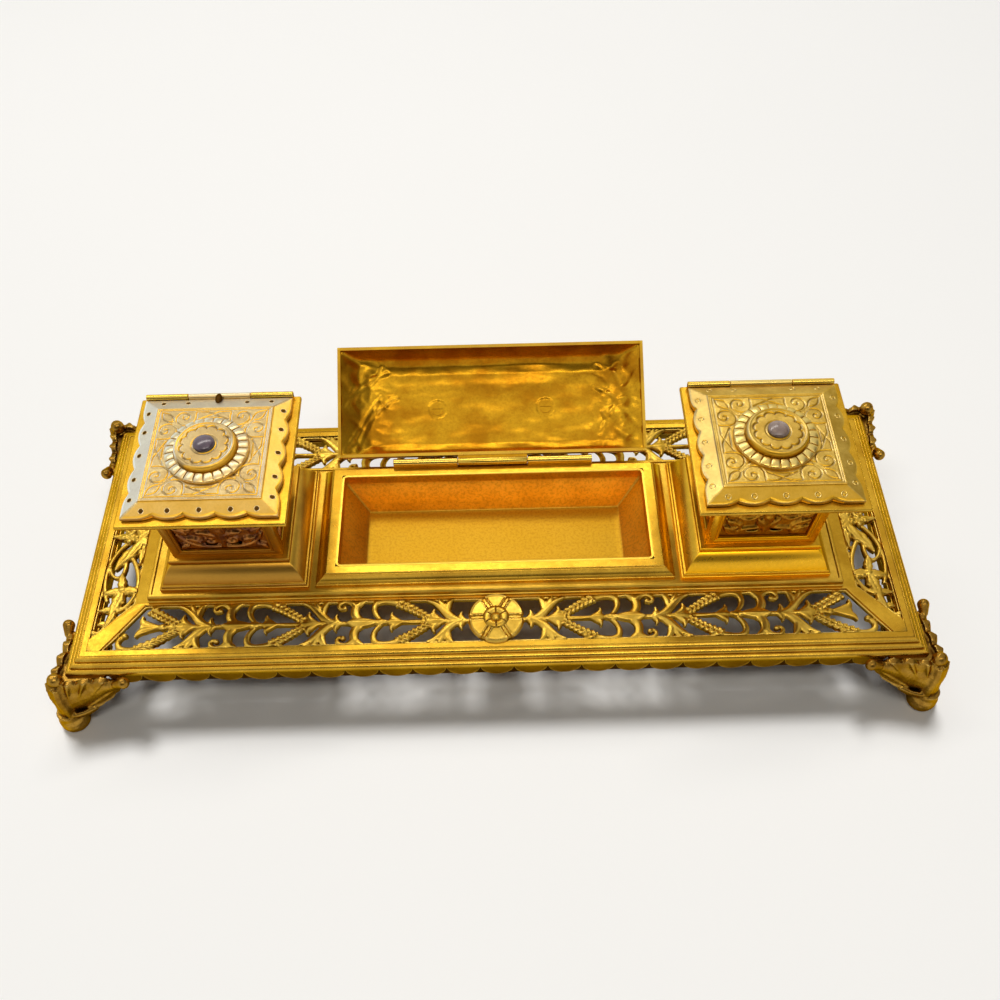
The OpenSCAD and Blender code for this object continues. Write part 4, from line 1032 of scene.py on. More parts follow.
def platform_form():
    top = FLOOR + 0.6
    outline = [(PLATFORM_X - SLOT_X, PLATFORM_Y - SLOT_Y, WEB_TOP), (0, 0, WEB_TOP), (0, 0, 32.5),
               (0.16, 0.16, 32.62), (0.44, 0.44, 32.68), (0.44, 0.44, 34.3), (0.62, 0.62, 34.72),
               (0.9, 0.9, top - 0.08), (1.2, 1.2, top), (1.96, 1.96, top), (2.2, 2.2, FLOOR),
               (PLATFORM_X - SLOT_X, PLATFORM_Y - SLOT_Y, FLOOR)]
    return moulding(Form(), PLATFORM_X, PLATFORM_Y, outline, 0.4, 0.14, True)


piece("platform_plate", platform_form(), "base", "gilt_satin", GILT_FLAT, "platform")

HINGE_Y, HINGE_Z, HINGE_R = 27.2, 41.8, 1.6
# Where the outer knuckles of the tray's hinge start and end, from the middle
HINGE_IN, HINGE_OUT = 14.5, 41


def tray_frame_form():
    wide, deep, high = 5.3, 2.9, 5.6
    shape = [(0, 0), (0, 0.19), (0.1, 0.22), (0.12, 0.3), (0.2, 0.36), (0.22, 0.4), (0.34, 0.45), (0.5, 0.58),
             (0.66, 0.76), (0.72, 0.86), (0.8, 0.88), (0.84, 0.97), (0.9, 1)]
    outline = [(wide * a, deep * a, FLOOR + high * b) for a, b in shape]
    inner = (FRAME_X - TRAY_X - 0.95, FRAME_Y - TRAY_Y - 0.95)
    outline += [(wide, deep, FRAME_TOP), (*inner, FRAME_TOP), (*inner, FLOOR)]
    form = moulding(Form(), FRAME_X, FRAME_Y, outline, 0.35, 0.12, True)
    for side in (1, -1):
        x0, x1 = sorted((side * HINGE_IN, side * HINGE_OUT))
        barrel(form, x0, x1, HINGE_Y, HINGE_Z, HINGE_R)
        block(form, x0, x1, 25.5, 28.0, 38, HINGE_Z - 0.8)
    return form


piece("tray_surround", tray_frame_form(), "base", "gilt_satin", GILT, "tray_frame")


def tray_form():
    """The sheet tray: straight for a little way, then leaning in to a floor with a soft corner."""
    lean_x, lean_y = 8.6, 5.8

    def ring(z, share, r, out=0.0):
        return rectangle(TRAY_X + out - lean_x * share, TRAY_Y + out - lean_y * share, z, r, 6)

    stations = ((40.15, 0, 1.2), (38.2, 0, 1.2), (36.4, 0, 1.1), (35.6, 0.05, 1.1), (33, 0.26, 1.0),
                (30, 0.5, 0.9), (27.4, 0.71, 0.8), (25.4, 0.89, 0.8), (24.6, 0.95, 0.8), (24.3, 0.98, 0.8),
                (TRAY_FLOOR, 1.02, 0.8), (TRAY_FLOOR, 1.3, 0.8))
    outside = [ring(max(z - TRAY_SHEET, 23.35) + TRAY_SHEET * (share == 0), share, r + TRAY_SHEET, TRAY_SHEET)
               for z, share, r in stations[:9]]
    rings = outside[::-1] + [ring(FRAME_TOP, 0, 2.1, TRAY_SHEET), ring(FRAME_TOP, 0, 1.3, 0.1)]
    return Form().rings(rings + [ring(*station) for station in stations], ends=BOTH)


piece("tray_sheet", tray_form(), "base", "gilt_orange", GILT_ORANGE, "tray", crease=40)


# ---------------------------------------------------------------- tray lid

OPEN = math.radians(157)
SHELL_L, SHELL_BACK, SHELL_FRONT = 127.4, 24.9, -22.1
SHELL_D, SHELL_Y = SHELL_BACK - SHELL_FRONT, (SHELL_BACK + SHELL_FRONT) / 2
SHELL_Z, SHELL_H, SHELL_T = 40.4, 12.4, 1.3
SHELL_TOP = SHELL_Z + SHELL_H


def opened(form):
    c, s = math.cos(OPEN), math.sin(OPEN)

    def turn(p):
        y, z = p[:, 1] - HINGE_Y, p[:, 2] - HINGE_Z
        return np.stack([p[:, 0], HINGE_Y + y * c + z * s, HINGE_Z - y * s + z * c], -1)

    return form.moved(turn)


def smooth_line(points, steps=5):
    """A line through points, rounded between them."""
    p = np.array(points, float)
    p = np.vstack([2 * p[0] - p[1], p, 2 * p[-1] - p[-2]])
    out = []
    for i in range(1, len(p) - 2):
        for t in np.linspace(0, 1, steps, False):
            out.append(0.5 * (2 * p[i] + (p[i + 1] - p[i - 1]) * t
                              + (2 * p[i - 1] - 5 * p[i] + 4 * p[i + 1] - p[i + 2]) * t * t
                              + (3 * p[i] - p[i - 1] - 3 * p[i + 1] + p[i + 2]) * t ** 3))
    return np.array(out + [p[-2]])


def groove_depth(gx, gy, lines, width, depth):
    """How deep engraved lines cut at each place of a grid."""
    cut = np.full(gx.shape, 1e9)
    places = np.stack([gx.ravel(), gy.ravel()], -1)
    for line in lines:
        line = np.array(line, float)
        for a, b in zip(line, line[1:]):
            low, high = np.minimum(a, b) - width, np.maximum(a, b) + width
            near = np.all((places >= low) & (places <= high), axis=1)
            if not near.any():
                continue
            p = places[near]
            way = b - a
            t = np.clip(((p - a) @ way) / max(way @ way, 1e-9), 0, 1)
            far = np.linalg.norm(p - a - t[:, None] * way, axis=1)
            flat = cut.ravel()
            flat[near] = np.minimum(flat[near], far)
            cut = flat.reshape(gx.shape)
    return depth * np.clip(1 - cut / (width / 2), 0, 1) ** 0.7


def noise_grid(gx, gy, along, deep, seed):
    """Smooth noise over a grid; along and deep are its waves per millimetre in x and y."""
    return np.array([noise.noise(Vector((x * along, y * deep, seed)))
                     for x, y in zip(gx.ravel(), gy.ravel())]).reshape(gx.shape)


SHELL_LIP = 1.2
CREASES = (((-62, 21), (-55, 8), (-51, 0), (-47, -6)), ((-57, 19), (-52, 6), (-44, -3), (-40, -5)),
           ((-61, 2), (-56, -7), (-50, -12), (-46, -18)), ((-60, -4), (-54, -12), (-44, -16)),
           ((61, 12), (56, 4), (51, -4), (44, -8)), ((62, 2), (55, -2), (50, 4), (46, 12)),
           ((61, -12), (56, -6), (52, -14), (45, -17)), ((60, 18), (53, 12), (47, 3)))


def shell_height(x, y, t):
    """Height of the lid's outside over a place, or of its inside when t is its thickness."""
    h = SHELL_H - SHELL_LIP - t
    end = h * np.interp(SHELL_L / 2 - t - np.abs(x), [0, 3.2, 7, 11, 15.6, 20], [0, 0.28, 0.62, 0.84, 0.97,
                                                                                 1])
    side = h * np.interp(SHELL_D / 2 - t - np.abs(y), [0, 0.69, 1.84, 3.9, 7.1, 11.5],
                         [0, 0.26, 0.52, 0.76, 0.94, 1])
    if not t:
        return np.minimum(end, side)
    soft = 1.5
    return np.maximum(-soft * np.log(np.exp(-end / soft) + np.exp(-side / soft)), 0)


def worked(gx, gy, edge):
    """How far hammering, folds and dents lift the inside of the lid; edge is how far its rim is."""
    waves = (0.8 * noise_grid(gx, gy, 0.055, 0.16, 3) + 0.22 * noise_grid(gx, gy, 0.16, 0.3, 9)
             + 0.04 * noise_grid(gx, gy, 0.6, 0.9, 5) - 0.35)
    # flat seats for the two screws
    waves[np.hypot((np.abs(gx) - 23) / 3.2, gy / 3.2) < 1.2] = 0
    folds = groove_depth(gx, gy, [smooth_line(line, 6) for line in CREASES], 2.2, 0.42)
    dents = 1.6 * np.abs(noise_grid(gx, gy, 0.16, 0.13, 21)) * np.clip((np.abs(gx) - 38) / 10, 0, 1)
    return (waves * 0.7 - folds - dents + 0.3) * np.clip(edge / 4, 0, 1)


def shell_grid(t):
    """The outside of the lid, or its worked inside when t is its thickness."""
    xs = np.concatenate([[-1], np.linspace(-1, 1, 240), [1]]) * (SHELL_L / 2 - t)
    ys = np.concatenate([[-1], np.linspace(-1, 1, 100), [1]]) * (SHELL_D / 2 - t)
    gx, gy = np.meshgrid(xs, ys)
    edge = np.minimum(SHELL_L / 2 - t - np.abs(gx), SHELL_D / 2 - t - np.abs(gy))
    high = SHELL_Z + SHELL_LIP + shell_height(gx, gy, t)
    if t:
        high = high + worked(gx, gy, edge)
    high[edge <= 1e-6] = SHELL_Z + SHELL_LIP
    high[0, :] = high[-1, :] = high[:, 0] = high[:, -1] = SHELL_Z
    return xs, ys, high


def lid_shell():
    outside, inside = shell_grid(0), shell_grid(SHELL_T)
    form = Form().sheet(*outside).sheet(*inside)
    form.rings([rectangle_grid(xs, ys, SHELL_Z) for xs, ys, _ in (outside, inside)])
    form = shifted(form, 0, SHELL_Y)
    half = HINGE_IN - 0.2
    barrel(form, -half, half, HINGE_Y, HINGE_Z, HINGE_R)
    block(form, -half, half, SHELL_BACK - 0.8, HINGE_Y, HINGE_Z - 1.1, HINGE_Z + 0.8)
    return opened(form)


def rectangle_grid(xs, ys, z):
    """The ring of grid points round a rectangle's edge."""
    points = [(x, ys[0], z) for x in xs[:-1]] + [(xs[-1], y, z) for y in ys[:-1]]
    points += [(x, ys[-1], z) for x in xs[:0:-1]] + [(xs[0], y, z) for y in ys[:0:-1]]
    return np.array(points)


piece("tray_lid_shell", lid_shell(), "tray_cover", "gilt_hammered", GILT_HAMMERED, "tray_lid", crease=50,
      rounds=1)


def tooth_ring(r, inner, z, h, teeth):
    """A turned ring with a row of separate rounded blocks on its shoulder."""
    form = turned_shape(Form(), eased([(inner - 0.3, z), (r, z), (r, z + h * 0.4), (r - 0.5, z + h * 0.58),
                                       (inner - 0.3, z + h * 0.5)], 0.15), around=120)
    half = math.pi / teeth * 0.85
    low, wall = inner + 0.25, r - 0.35 - inner
    for i in range(teeth):
        middle = 2 * math.pi * i / teeth
        rings = []
        for share, high in ((0, 0.5), (0, 0.9), (0.05, 0.97), (0.3, 0.97), (0.6, 0.9), (0.9, 0.78),
                            (0.98, 0.68), (1, 0.45)):
            radius = low + wall * share
            rings.append([(radius * math.cos(middle + a), radius * math.sin(middle + a), z + h * level)
                          for a, level in ((-half, 0.4), (-half, high - 0.08), (-half * 0.75, high),
                                           (half * 0.75, high), (half, high - 0.08), (half, 0.4))])
        form.rings(rings, ends=BOTH)
    return form


def on_lid(form):
    """Set on the tray's lid, which is open."""
    return opened(shifted(form, 0, SHELL_Y))


PLAQUE_TOP, BOSS_TOP = SHELL_TOP + 1.8, SHELL_TOP + 5.1
plaque = moulding(Form(), 31, 12, [(0, SHELL_TOP), (0, SHELL_TOP + 0.7), (0.5, SHELL_TOP + 0.9),
                                   (0.9, SHELL_TOP + 1.5), (1.6, PLAQUE_TOP), (2.6, PLAQUE_TOP),
                                   (2.9, PLAQUE_TOP - 0.2), (3.3, PLAQUE_TOP)], 0.3, 0.12)
piece("lid_plaque", on_lid(plaque), "tray_cover", "gilt_satin", GILT, "tray_lid_plaque")

boss = tooth_ring(9.4, 6.6, PLAQUE_TOP, 2.1, 20)
turned_shape(boss, eased([(0.1, PLAQUE_TOP), (6.6, PLAQUE_TOP), (6.6, BOSS_TOP - 0.4), (6.0, BOSS_TOP),
                          (0.1, BOSS_TOP)], 0.3), around=72)
piece("lid_boss", on_lid(boss), "tray_cover", "gilt_engraved", GILT_PALE, "tray_lid_boss")


def cabochon(r, z):
    wall = 0.25
    profile = [(r, z), (r, z + wall)]
    profile += [(r * math.cos(b), z + wall + r * 0.42 * math.sin(b)) for b in np.radians(np.linspace(8, 88,
                                                                                                     9))]
    return turned_shape(Form(), profile, around=48)


piece("lid_cabochon", on_lid(cabochon(3.12, BOSS_TOP)), "tray_cover", "stone", STONE_RIGHT, "tray_lid_stone",
      crease=60)


# ---------------------------------------------------------------- inkwells

PLINTH_TOP, COLLAR_LOW, COLLAR_TOP = 46.6, 75.2, 77.4
LID_LOW, EDGE_TOP, PANEL_Z = 77.6, 79.1, 81.2
PLINTH_HALF, BODY_HALF, COLLAR_HALF, LID_HALF, PANEL_HALF = 29, 21, 30.1, 27.5, 21.5
WELL_HINGE_Y, WELL_HINGE_Z, WELL_HINGE_R = 29.15, 78.85, 1.25
# The middle knuckle, on the lid, reaches this far each way
WELL_KNUCKLE = 11.6
WINDOW_X, WINDOW_LOW, WINDOW_TOP = 16.8, PLINTH_TOP + 3.4, COLLAR_LOW - 3.2
WALL_IN = 18.6
RING_R, RING_IN, DISC_R, STONE_R, DISC_TOP = 15.1, 11.3, 11.2, 3.9, PANEL_Z + 4.1
# Height and width of the bevel round a lid, and where its row of studs stands from the middle
BEVEL_RISE, BEVEL_WIDE, STUDS_Y = PANEL_Z - EDGE_TOP - 0.35, LID_HALF - PANEL_HALF, 25.0
CORNERS = ((-1, -1), (1, -1), (1, 1), (-1, 1))


def plinth_form():
    """A stepped plinth with a hollow side, drawn from its foot up."""
    z = FLOOR
    outline = [(10, z), (0, z), (0, z + 1.5), (0.25, z + 1.62), (0.62, z + 1.66), (0.66, z + 2.15),
               (0.85, z + 2.5),
               (1.3, z + 2.62), (1.5, z + 2.7), (2.2, z + 4.2), (3.2, z + 6.2), (4.4, z + 8.0),
               (5.6, z + 9.1),
               (6.4, z + 9.55), (6.6, z + 9.6), (6.6, z + 10), (5.9, z + 10), (5.8, z + 10.3),
               (5.75, z + 11.5), (6.0, z + 11.9), (6.3, z + 12)]
    return moulding(Form(), PLINTH_HALF, PLINTH_HALF, outline, 0.35, 0.12)


def body_form():
    """A square tube with a bevelled window in each side."""
    half, low, high = BODY_HALF, PLINTH_TOP, COLLAR_LOW
    # half width, how far past the window's edge or up to the wall's ends, and depth
    steps = [(half, low, high, half)]
    steps += [(WINDOW_X + past, WINDOW_LOW - past, WINDOW_TOP + past, half - sunk)
              for past, sunk in ((1.4, 0), (1.2, 0.2), (0.9, 0.2), (0.7, 0), (0.3, 0), (0, 0.3),
                                 (0, half - WALL_IN))]
    steps.append((WALL_IN, low, high, WALL_IN))
    wall = Form().rings([[(-x, -y, a), (x, -y, a), (x, -y, b), (-x, -y, b)] for x, a, b, y in steps])
    form = Form()
    for i in range(4):
        form.join(turned(wall, i * 90))
    for z in (low, high):
        form.rings([[(x * s, y * s, z) for x, y in CORNERS] for s in (half, WALL_IN)])
    return form


def collar_form():
    """The flat plate that overhangs the body, with two knuckles of its lid's hinge."""
    top, low, half = COLLAR_TOP, COLLAR_LOW, COLLAR_HALF
    form = moulding(Form(), half, half, [(13.4, low), (1.4, low), (0.3, low + 0.55), (0, low + 0.8),
                                         (0, low + 1.75), (0.42, top), (13.4, top)], 0.5, 0.14, True)
    for side in (1, -1):
        x0, x1 = sorted((side * (WELL_KNUCKLE + 0.2), side * LID_HALF))
        barrel(form, x0, x1, WELL_HINGE_Y, WELL_HINGE_Z, WELL_HINGE_R)
        block(form, x0, x1, WELL_HINGE_Y - 0.85, WELL_HINGE_Y + 0.6, top - 0.5, WELL_HINGE_Z - 0.6)
    return form


def scallop_edge():
    """Points round the lid's outline: five scallops on three sides, straight at the hinge, full corners."""
    sag, count, per_scallop = 1.4, 5, 14
    pitch = 2 * LID_HALF / count
    r = (pitch * pitch / 4 + sag * sag) / (2 * sag)
    outline = []
    for turn in range(4):
        a = math.radians(90 * turn)
        for i in range(count):
            for j in range(per_scallop):
                x = (i + j / per_scallop) * pitch - LID_HALF
                off = (j / per_scallop - 0.5) * pitch
                y = r - LID_HALF - math.sqrt(r * r - off * off)
                if turn == 2 or (i == 0 and off < 0) or (i == count - 1 and off > 0):
                    y = -LID_HALF
                outline.append((x * math.cos(a) - y * math.sin(a), x * math.sin(a) + y * math.cos(a)))
    return np.array(outline)


def square_edge(count):
    """That many points on a square of half width 1, level with those of the lid's outline."""
    out = []
    for turn in range(4):
        a = math.radians(90 * turn)
        for u in np.linspace(-1, 1, count // 4, False):
            out.append((u * math.cos(a) + math.sin(a), u * math.sin(a) - math.cos(a)))
    return np.array(out)


def spiral(x, y, r, start, turns, end, steps):
    """Points winding in from radius r to radius end; start is in degrees."""
    t = np.linspace(0, 1, steps)
    a = math.radians(start) + t * turns * 2 * math.pi
    radius = r + (end - r) * t ** 0.85
    return np.stack([x + radius * np.cos(a), y + radius * np.sin(a)], -1)


def square_line(half):
    return [(x * half, y * half) for x, y in CORNERS + CORNERS[:1]]


def lid_lines():
    """Engraved lines of one panel: a bud and two scrolls in each corner, crossed lines at the sides."""
    scroll = [(-6.4, -19.2), (-6.3, -17), (-6.5, -15), (-7.4, -13.4), (-8.9, -12.6), (-10.3, -12.6),
              (-11.8, -13.1),
              (-13, -14.2), (-13.5, -15.6), (-13.3, -17.2), (-12.3, -18.5), (-11, -18.9), (-9.7, -18.4),
              (-8.9, -17.3), (-9.2, -16.2), (-10.2, -15.7), (-11, -16.2), (-10.9, -16.9)]
    bud = [(-14.6, -15.0), (-14.9, -16.6), (-15.9, -18.1), (-17.4, -18.8), (-19.2, -19.2)]
    half = [smooth_line(scroll), smooth_line(bud), [(-14.7, -14.7), (-10.6, -10.6)],
            smooth_line([(-14.2, -14.9), (-13.0, -13.4), (-11.6, -12.6)]), smooth_line([(-13.6, -14.2),
                                                                                        (-12, -11.4)]),
            [(-6.4, -19.3), (-2.2, -19.2), (0, -18.1), (5.4, -15.5)], [(-3.4, -16.2), (3.4, -16.2)]]
    quarter = [np.array(line, float) for line in half]
    quarter += [line[:, ::-1] for line in quarter]
    lines = []
    for turn in range(4):
        a = math.radians(90 * turn)
        matrix = np.array([[math.cos(a), math.sin(a)], [-math.sin(a), math.cos(a)]])
        lines += [line @ matrix for line in quarter]
    return lines + [square_line(PANEL_HALF - 1.4)]


def lid_form():
    """A lid's scalloped plate, its bevel and its engraved panel, with the middle knuckle of its hinge."""
    form = Form()
    edge = scallop_edge()
    square = square_edge(len(edge))
    under, inner = PANEL_HALF + 0.5, PANEL_HALF - 0.1

    def level(points, z):
        return np.column_stack([points, np.full(len(edge), z)])

    # from the underside out round the scallops and up the bevel to the panel
    rings = [level(square * under, LID_LOW + 2), level(square * under, LID_LOW)]
    rings += [level(edge * share, z) for share, z in ((0.995, LID_LOW), (1, LID_LOW + 0.15),
                                                      (1, EDGE_TOP - 0.3),
                                                      (0.998, EDGE_TOP - 0.08), (0.993, EDGE_TOP + 0.02))]
    for t in np.linspace(0.04, 0.98, 14):
        shape = edge * 0.985 * (1 - t) + square * PANEL_HALF * t
        far = (LID_HALF - np.abs(shape).max(1)) / BEVEL_WIDE
        rings.append(np.column_stack([shape, EDGE_TOP + BEVEL_RISE * far]))
    rings += [level(square * PANEL_HALF, PANEL_Z - 0.3), level(square * PANEL_HALF, PANEL_Z - 0.06),
              level(square * inner, PANEL_Z)]
    form.rings(rings)
    side = np.linspace(-inner, inner, 215)
    gx, gy = np.meshgrid(side, side)
    cut = np.maximum(groove_depth(gx, gy, lid_lines(), 0.75, 0.3),
                     groove_depth(gx, gy, [square_line(PANEL_HALF - 0.75)], 0.4, 0.16))
    high = PANEL_Z - cut + 0.03 * noise_grid(gx, gy, 1.1, 1.1, 2)
    high[0, :] = high[-1, :] = high[:, 0] = high[:, -1] = PANEL_Z
    form.sheet(side, side, high)
    form.add([(x * under, y * under, LID_LOW + 2) for x, y in CORNERS], [(0, 1, 2, 3)])
    barrel(form, -WELL_KNUCKLE, WELL_KNUCKLE, WELL_HINGE_Y, WELL_HINGE_Z, WELL_HINGE_R)
    block(form, -WELL_KNUCKLE, WELL_KNUCKLE, LID_HALF - 2, WELL_HINGE_Y, LID_LOW + 0.2, WELL_HINGE_Z)
    return form


def studs(profile):
    """Small turned shapes set square on the lid's bevel, one to each scallop."""
    form = Form()
    slope = BEVEL_RISE / BEVEL_WIDE
    z = EDGE_TOP + (LID_HALF - STUDS_Y) * slope
    tilted = turned_shape(Form(), profile, around=20).moved(
        lambda p: np.stack([p[:, 0], p[:, 1] - STUDS_Y, z + p[:, 2] + p[:, 1] * slope], -1))
    for turn in range(4):
        for u in (-20.1, -11, 0, 11, 20.1):
            # the hinge leaves no room for the middle one at the back
            if turn != 2 or u:
                form.join(turned(shifted(tilted, u), 90 * turn))
    return form


PUNCHED = [(1.15, -0.3), (1.15, 0.06), (1.0, 0.16), (0.82, 0.1), (0.66, -0.02), (0.4, 0.02), (0.05, 0.08)]
HOLE_EDGE = [(1.05, -0.3), (1.05, 0.04), (0.95, 0.09), (0.82, 0.02), (0.78, -0.1)]
# a flat disc set in each ring of the left lid, painted dark as the shade down its hole
PAINTED_HOLE_SHADE = [(0.84, -0.1), (0.84, 0.035), (0.05, 0.035)]


def disc_form():
    """A turned disc; a flower with twelve lobes and a small ring are cut in its top."""
    z, top = PANEL_Z, DISC_TOP
    profile = [(0.1, z), (DISC_R - 0.05, z), (DISC_R, z + 0.2), (DISC_R, z + 2.6), (DISC_R - 0.1, z + 3.3),
               (DISC_R - 0.4, z + 3.8), (10.4, top), (10.0, top + 0.02), (9.75, top - 0.18)]
    profile += [(r, top - 0.2) for r in np.linspace(9.5, 0.1, 48)]

    def wave(r, a):
        if r > 9.3:
            return 0 * a
        lobe = 7.6 + 1.15 * np.abs(np.sin(a * 6)) ** 0.7
        flower = 0.45 * np.clip(1 - np.abs(r - lobe) / 0.46, 0, 1) ** 0.7
        return -flower - 0.3 * np.clip(1 - np.abs(r - 4.4) / 0.35, 0, 1)

    return turned_shape(Form(), profile, around=240, wave=wave)


def relief_form(kind):
    """A relief panel facing the front, on a back sheet sunk in its window: leaves or garlands."""
    w, h = WINDOW_X, WINDOW_TOP - WINDOW_LOW
    form = Form()
    holes = [[(side * x + rx * math.cos(a), y + ry * math.sin(a)) for a in np.linspace(0, 2 * math.pi, 14,
                                                                                       False)]
             for x, y, rx, ry in ((12, 4.4, 2.0, 1.7), (4.6, 3.4, 2.4, 1.2)) for side in (1, -1)]
    form.join(flat_plate("backing", [(-w, 0), (w, 0), (w, h), (-w, h)], holes, 0, 0.55, 0.08))
    half = Form()
    z0, z1 = 0.3, 1.55
    if kind == "leaves":
        curl(half, spiral(10.6, 14.2, 4.6, 200, -1.3, 0.8, 30), (2.2, 1.2), z0, z1, 1.1)
        curl(half, spiral(4.2, 6.4, 3.6, 60, 1.2, 0.8, 26), (1.9, 1.1), z0, z1, 1.0)
        curl(half, curve([(1, 2), (8, 1), (14, 3.4), (15.6, 10)], 16), (1.6, 1.2), z0, z1)
        for a, b, wide in (((2, 10), (1, 21), 4.4), ((5, 12), (6, 20.6), 3.6), ((11, 17), (16, 21.4), 3.4),
                           ((12, 9), (16.4, 13.4), 3.4), ((8, 4), (13, 7.4), 3.2), ((2, 8), (8.4, 10.6), 3),
                           ((12.6, 3), (16.4, 1), 2.6)):
            leaf_blade(half, a, b, wide, z0, z1 + 0.1, 0.7)
    else:
        for r, drop in ((13.5, 9.5), (11, 6.4)):
            for t in np.linspace(0, 1, 15):
                x = 1.5 + t * r
                y = 19.5 - drop * math.sin(math.pi * (0.15 + 0.75 * t))
                ball(half, (x, y, 0.75), 0.72, around=10)
        for a, b, wide in (((13, 16), (16.4, 21.6), 3.8), ((12, 12), (16.4, 14.6), 3.2),
                           ((0.5, 14), (4.6, 21), 3.6),
                           ((9.8, 2.6), (15.8, 6.6), 4.4), ((11, 7.6), (15.4, 10.6), 3.2), ((0.6, 6), (4, 11),
                                                                                            3)):
            leaf_blade(half, a, b, wide, z0, z1 + 0.1, -0.6)
        curl(half, curve([(0.8, 6.6), (4, 4), (8, 6), (10.6, 3.2)], 14), (1.8, 1.4), z0, z1)
        curl(half, spiral(11.8, 5.2, 2.6, 90, 1.1, 0.7, 22), (1.5, 1.0), z0, z1, 0.9)
    form.join(half).join(mirror_x(half))
    petal(form, curve([(0, 3), (0, 8), (0, 13), (0, 20.6)], 14), 4.2, z0, z1 + 0.25, 0.4, 0.8)
    dome(form, 0, 11.4, 1.3, 1.7, 0.6, 4, 16, 1.0)
    framed = form.moved(lambda p: np.stack([np.clip(p[:, 0], -w + 0.03, w - 0.03),
                                            np.clip(p[:, 1], 0.03, h - 0.03), p[:, 2]], -1))
    return shifted(upright(framed), 0, -(WALL_IN + 0.5), WINDOW_LOW)


plinth, tube, collar, lid_top, disc = plinth_form(), body_form(), collar_form(), lid_form(), disc_form()
ring = tooth_ring(RING_R, RING_IN, PANEL_Z, 2.1, 25)
WELLS = (("left", "leaves", HOLE_EDGE, GILT_PLINTH_PAINTED_SHADE, GILT_WORN_WITH_PAINTED_REFLECTIONS, "left_relief_patina", PATINA_LEFT, STONE_LEFT),
         ("right", "garlands", PUNCHED, GILT_PLINTH_PAINTED_LIGHT, GILT_PALE, "right_relief_gilt", RELIEF_RIGHT, STONE_RIGHT))
for side, kind, stud, case_paint, lid_paint, relief_slot, relief_paint, stone_paint in WELLS:
    def placed(form):
        at = shifted(form, WELL_X)
        return mirror_x(at) if side == "left" else at

    cover = side + "_cover"
    piece(side + "_plinth_block", placed(plinth), "base", "gilt_satin", case_paint, side + "_plinth")
    piece(side + "_body_case", placed(tube), "base", "gilt_satin", case_paint, side + "_body", bevel=0.12)
    piece(side + "_collar_plate", placed(collar), "base", "gilt_satin", GILT, side + "_collar")
    panel = relief_form(kind)
    for where, turn in (("front", 0), ("back", 180), ("inner", -90), ("outer", 90)):
        piece(f"{side}_ornament_{where}", placed(turned(panel, turn)), "base", relief_slot, relief_paint,
              f"{side}_relief_{where}", fuse=0.3, soften=2, crease=60, rounds=2)
    piece(side + "_lid_plate", placed(Form().join(lid_top).join(studs(stud))), cover, "gilt_engraved",
          lid_paint, side + "_lid", crease=38)
    if side == "left":
        stop = ball(Form(), (0, 27.2, 79.7), 1.3, (1, 1.9, 0.9))
        piece("left_hinge_stop", placed(stop), cover, "hinge_brass", GILT_PAINTED_SHADE)
        # dark discs painted as the shade inside the lid's holes
        piece("left_lid_hole_shade", placed(studs(PAINTED_HOLE_SHADE)), cover, "gilt_shaded", GILT_PAINTED_SHADE)
    piece(side + "_block_ring", placed(ring), cover, "gilt_engraved", lid_paint, side + "_lid_ring")
    piece(side + "_flower_disc", placed(disc), cover, "gilt_engraved", lid_paint, side + "_lid_disc",
          crease=50)
    piece(side + "_cabochon", placed(cabochon(STONE_R, DISC_TOP)), cover, "stone", stone_paint,
          side + "_lid_stone", crease=60)

# CAD pieces that keep their shape
for name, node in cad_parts.items():
    if node.hide_render:
        continue
    paint = GLASS if name.endswith("liner") else GILT_HAMMERED if name == "tray_lid_screws" else BRASS
    hollows(node.data)
    node.data.materials.clear()
    node.data.materials.append(paint)


# ---------------------------------------------------------------- stage and light

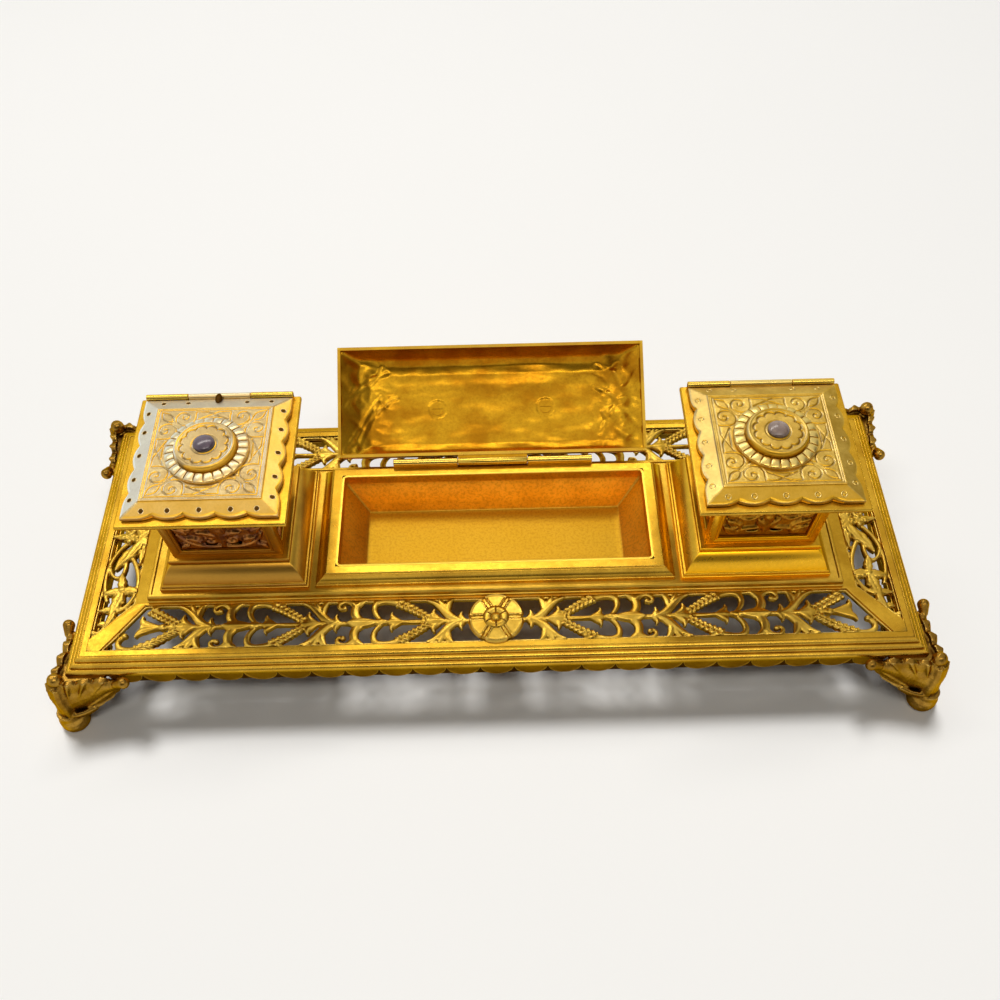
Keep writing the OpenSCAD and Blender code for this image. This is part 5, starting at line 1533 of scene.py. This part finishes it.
def studio():
    scene = bpy.context.scene
    scene.view_settings.view_transform = "Standard"
    scene.world = bpy.data.worlds.new("studio")
    scene.world.cycles.sampling_method = "NONE"
    sky = Paint("studio", scene.world)
    heading = sky.node("ShaderNodeTexCoord", {}, {}, "Generated")

    def patch(way, edge, middle):
        """1 in the middle of a soft patch of the sky, 0 past its edge, both in degrees from its centre."""
        way = Vector(way).normalized()
        near = sky.node("ShaderNodeVectorMath", {"operation": "DOT_PRODUCT"}, {0: heading, 1: way}, "Value")
        return near.between(math.cos(math.radians(edge)), math.cos(math.radians(middle)))

    height = sky.node("ShaderNodeSeparateXYZ", {}, {"Vector": heading}, "Z")
    tone = (0.9, 0.9, 0.9, 1)
    for way, edge, middle, low, colour in (
            ((0, -0.93, 0.36), 50, 22, True, (0.06, 0.055, 0.05, 1)),
            ((0.05, -0.35, 0.93), 12, 5, False, (1, 1, 1, 1)),
            ((0.95, 0.1, 0.3), 44, 26, True, (0.2, 0.19, 0.18, 1)),
            ((-0.62, 0.72, 0.32), 32, 16, False, (0.88, 0.95, 1, 1))):
        share = patch(way, edge, middle)
        if low:
            share = share * height.between(0.2, 0.36)
        tone = sky.mix(share, tone, colour)
    rays = [sky.node("ShaderNodeLightPath", {}, {}, f"Is {kind} Ray") for kind in ("Camera", "Glossy",
                                                                                   "Transmission")]
    shown = sky.maths("MINIMUM", rays[0] + rays[1] + rays[2], 1.0)
    lit = sky.node("ShaderNodeBackground", {}, {"Color": (0.96, 0.98, 1.0, 1), "Strength": 0.07})
    backdrop = sky.node("ShaderNodeBackground", {}, {"Color": tone, "Strength": 1.0})
    sky.finish(sky.node("ShaderNodeMixShader", {}, {0: shown, 1: lit, 2: backdrop}), "World")

    def lamp(name, kind, place, target, power, tint):
        data = bpy.data.lights.new(name, kind)
        data.energy, data.color = power, tint
        made = bpy.data.objects.new(name, data)
        scene.collection.objects.link(made)
        made.location = place
        made.rotation_euler = (Vector(target) - Vector(place)).to_track_quat("-Z", "Y").to_euler()
        return made

    sun = lamp("sun", "SUN", (-0.08, 0.46, 0.88), (0, 0, 0), 2.15, (1, 0.985, 0.96))
    sun.data.angle = math.radians(16)
    sun.visible_glossy = False
    for name, place, power, tint, wide in (("back_strip", (-0.25, 0.62, 1.0), 4.0, (1, 0.97, 0.9), 1.3),
                                           ("front_strip", (0.1, -0.42, 1.1), 2.6, (1, 0.95, 0.84), 0.9)):
        strip_lamp = lamp(name, "AREA", place, (0, 0, 0.03), power, tint)
        strip_lamp.data.shape, strip_lamp.data.size, strip_lamp.data.size_y = "RECTANGLE", wide, 0.14

    p = Paint("pale_floor")
    shade = p.mix(p.cloud(300, 2), rgb("f6f6f6"), rgb("f3f3f3"))
    lit = p.node("ShaderNodeBsdfPrincipled", {}, {"Base Color": shade, "Roughness": 0.9})
    paint = p.finish(lit)
    mesh = bpy.data.meshes.new("floor")
    reach = 3.0
    mesh.from_pydata([(x * reach, y * reach, 0) for x, y in CORNERS], [], [(0, 1, 2, 3)])
    mesh.materials.append(paint)
    floor = bpy.data.objects.new("floor", mesh)
    scene.collection.objects.link(floor)


studio()
bpy.context.view_layer.update()
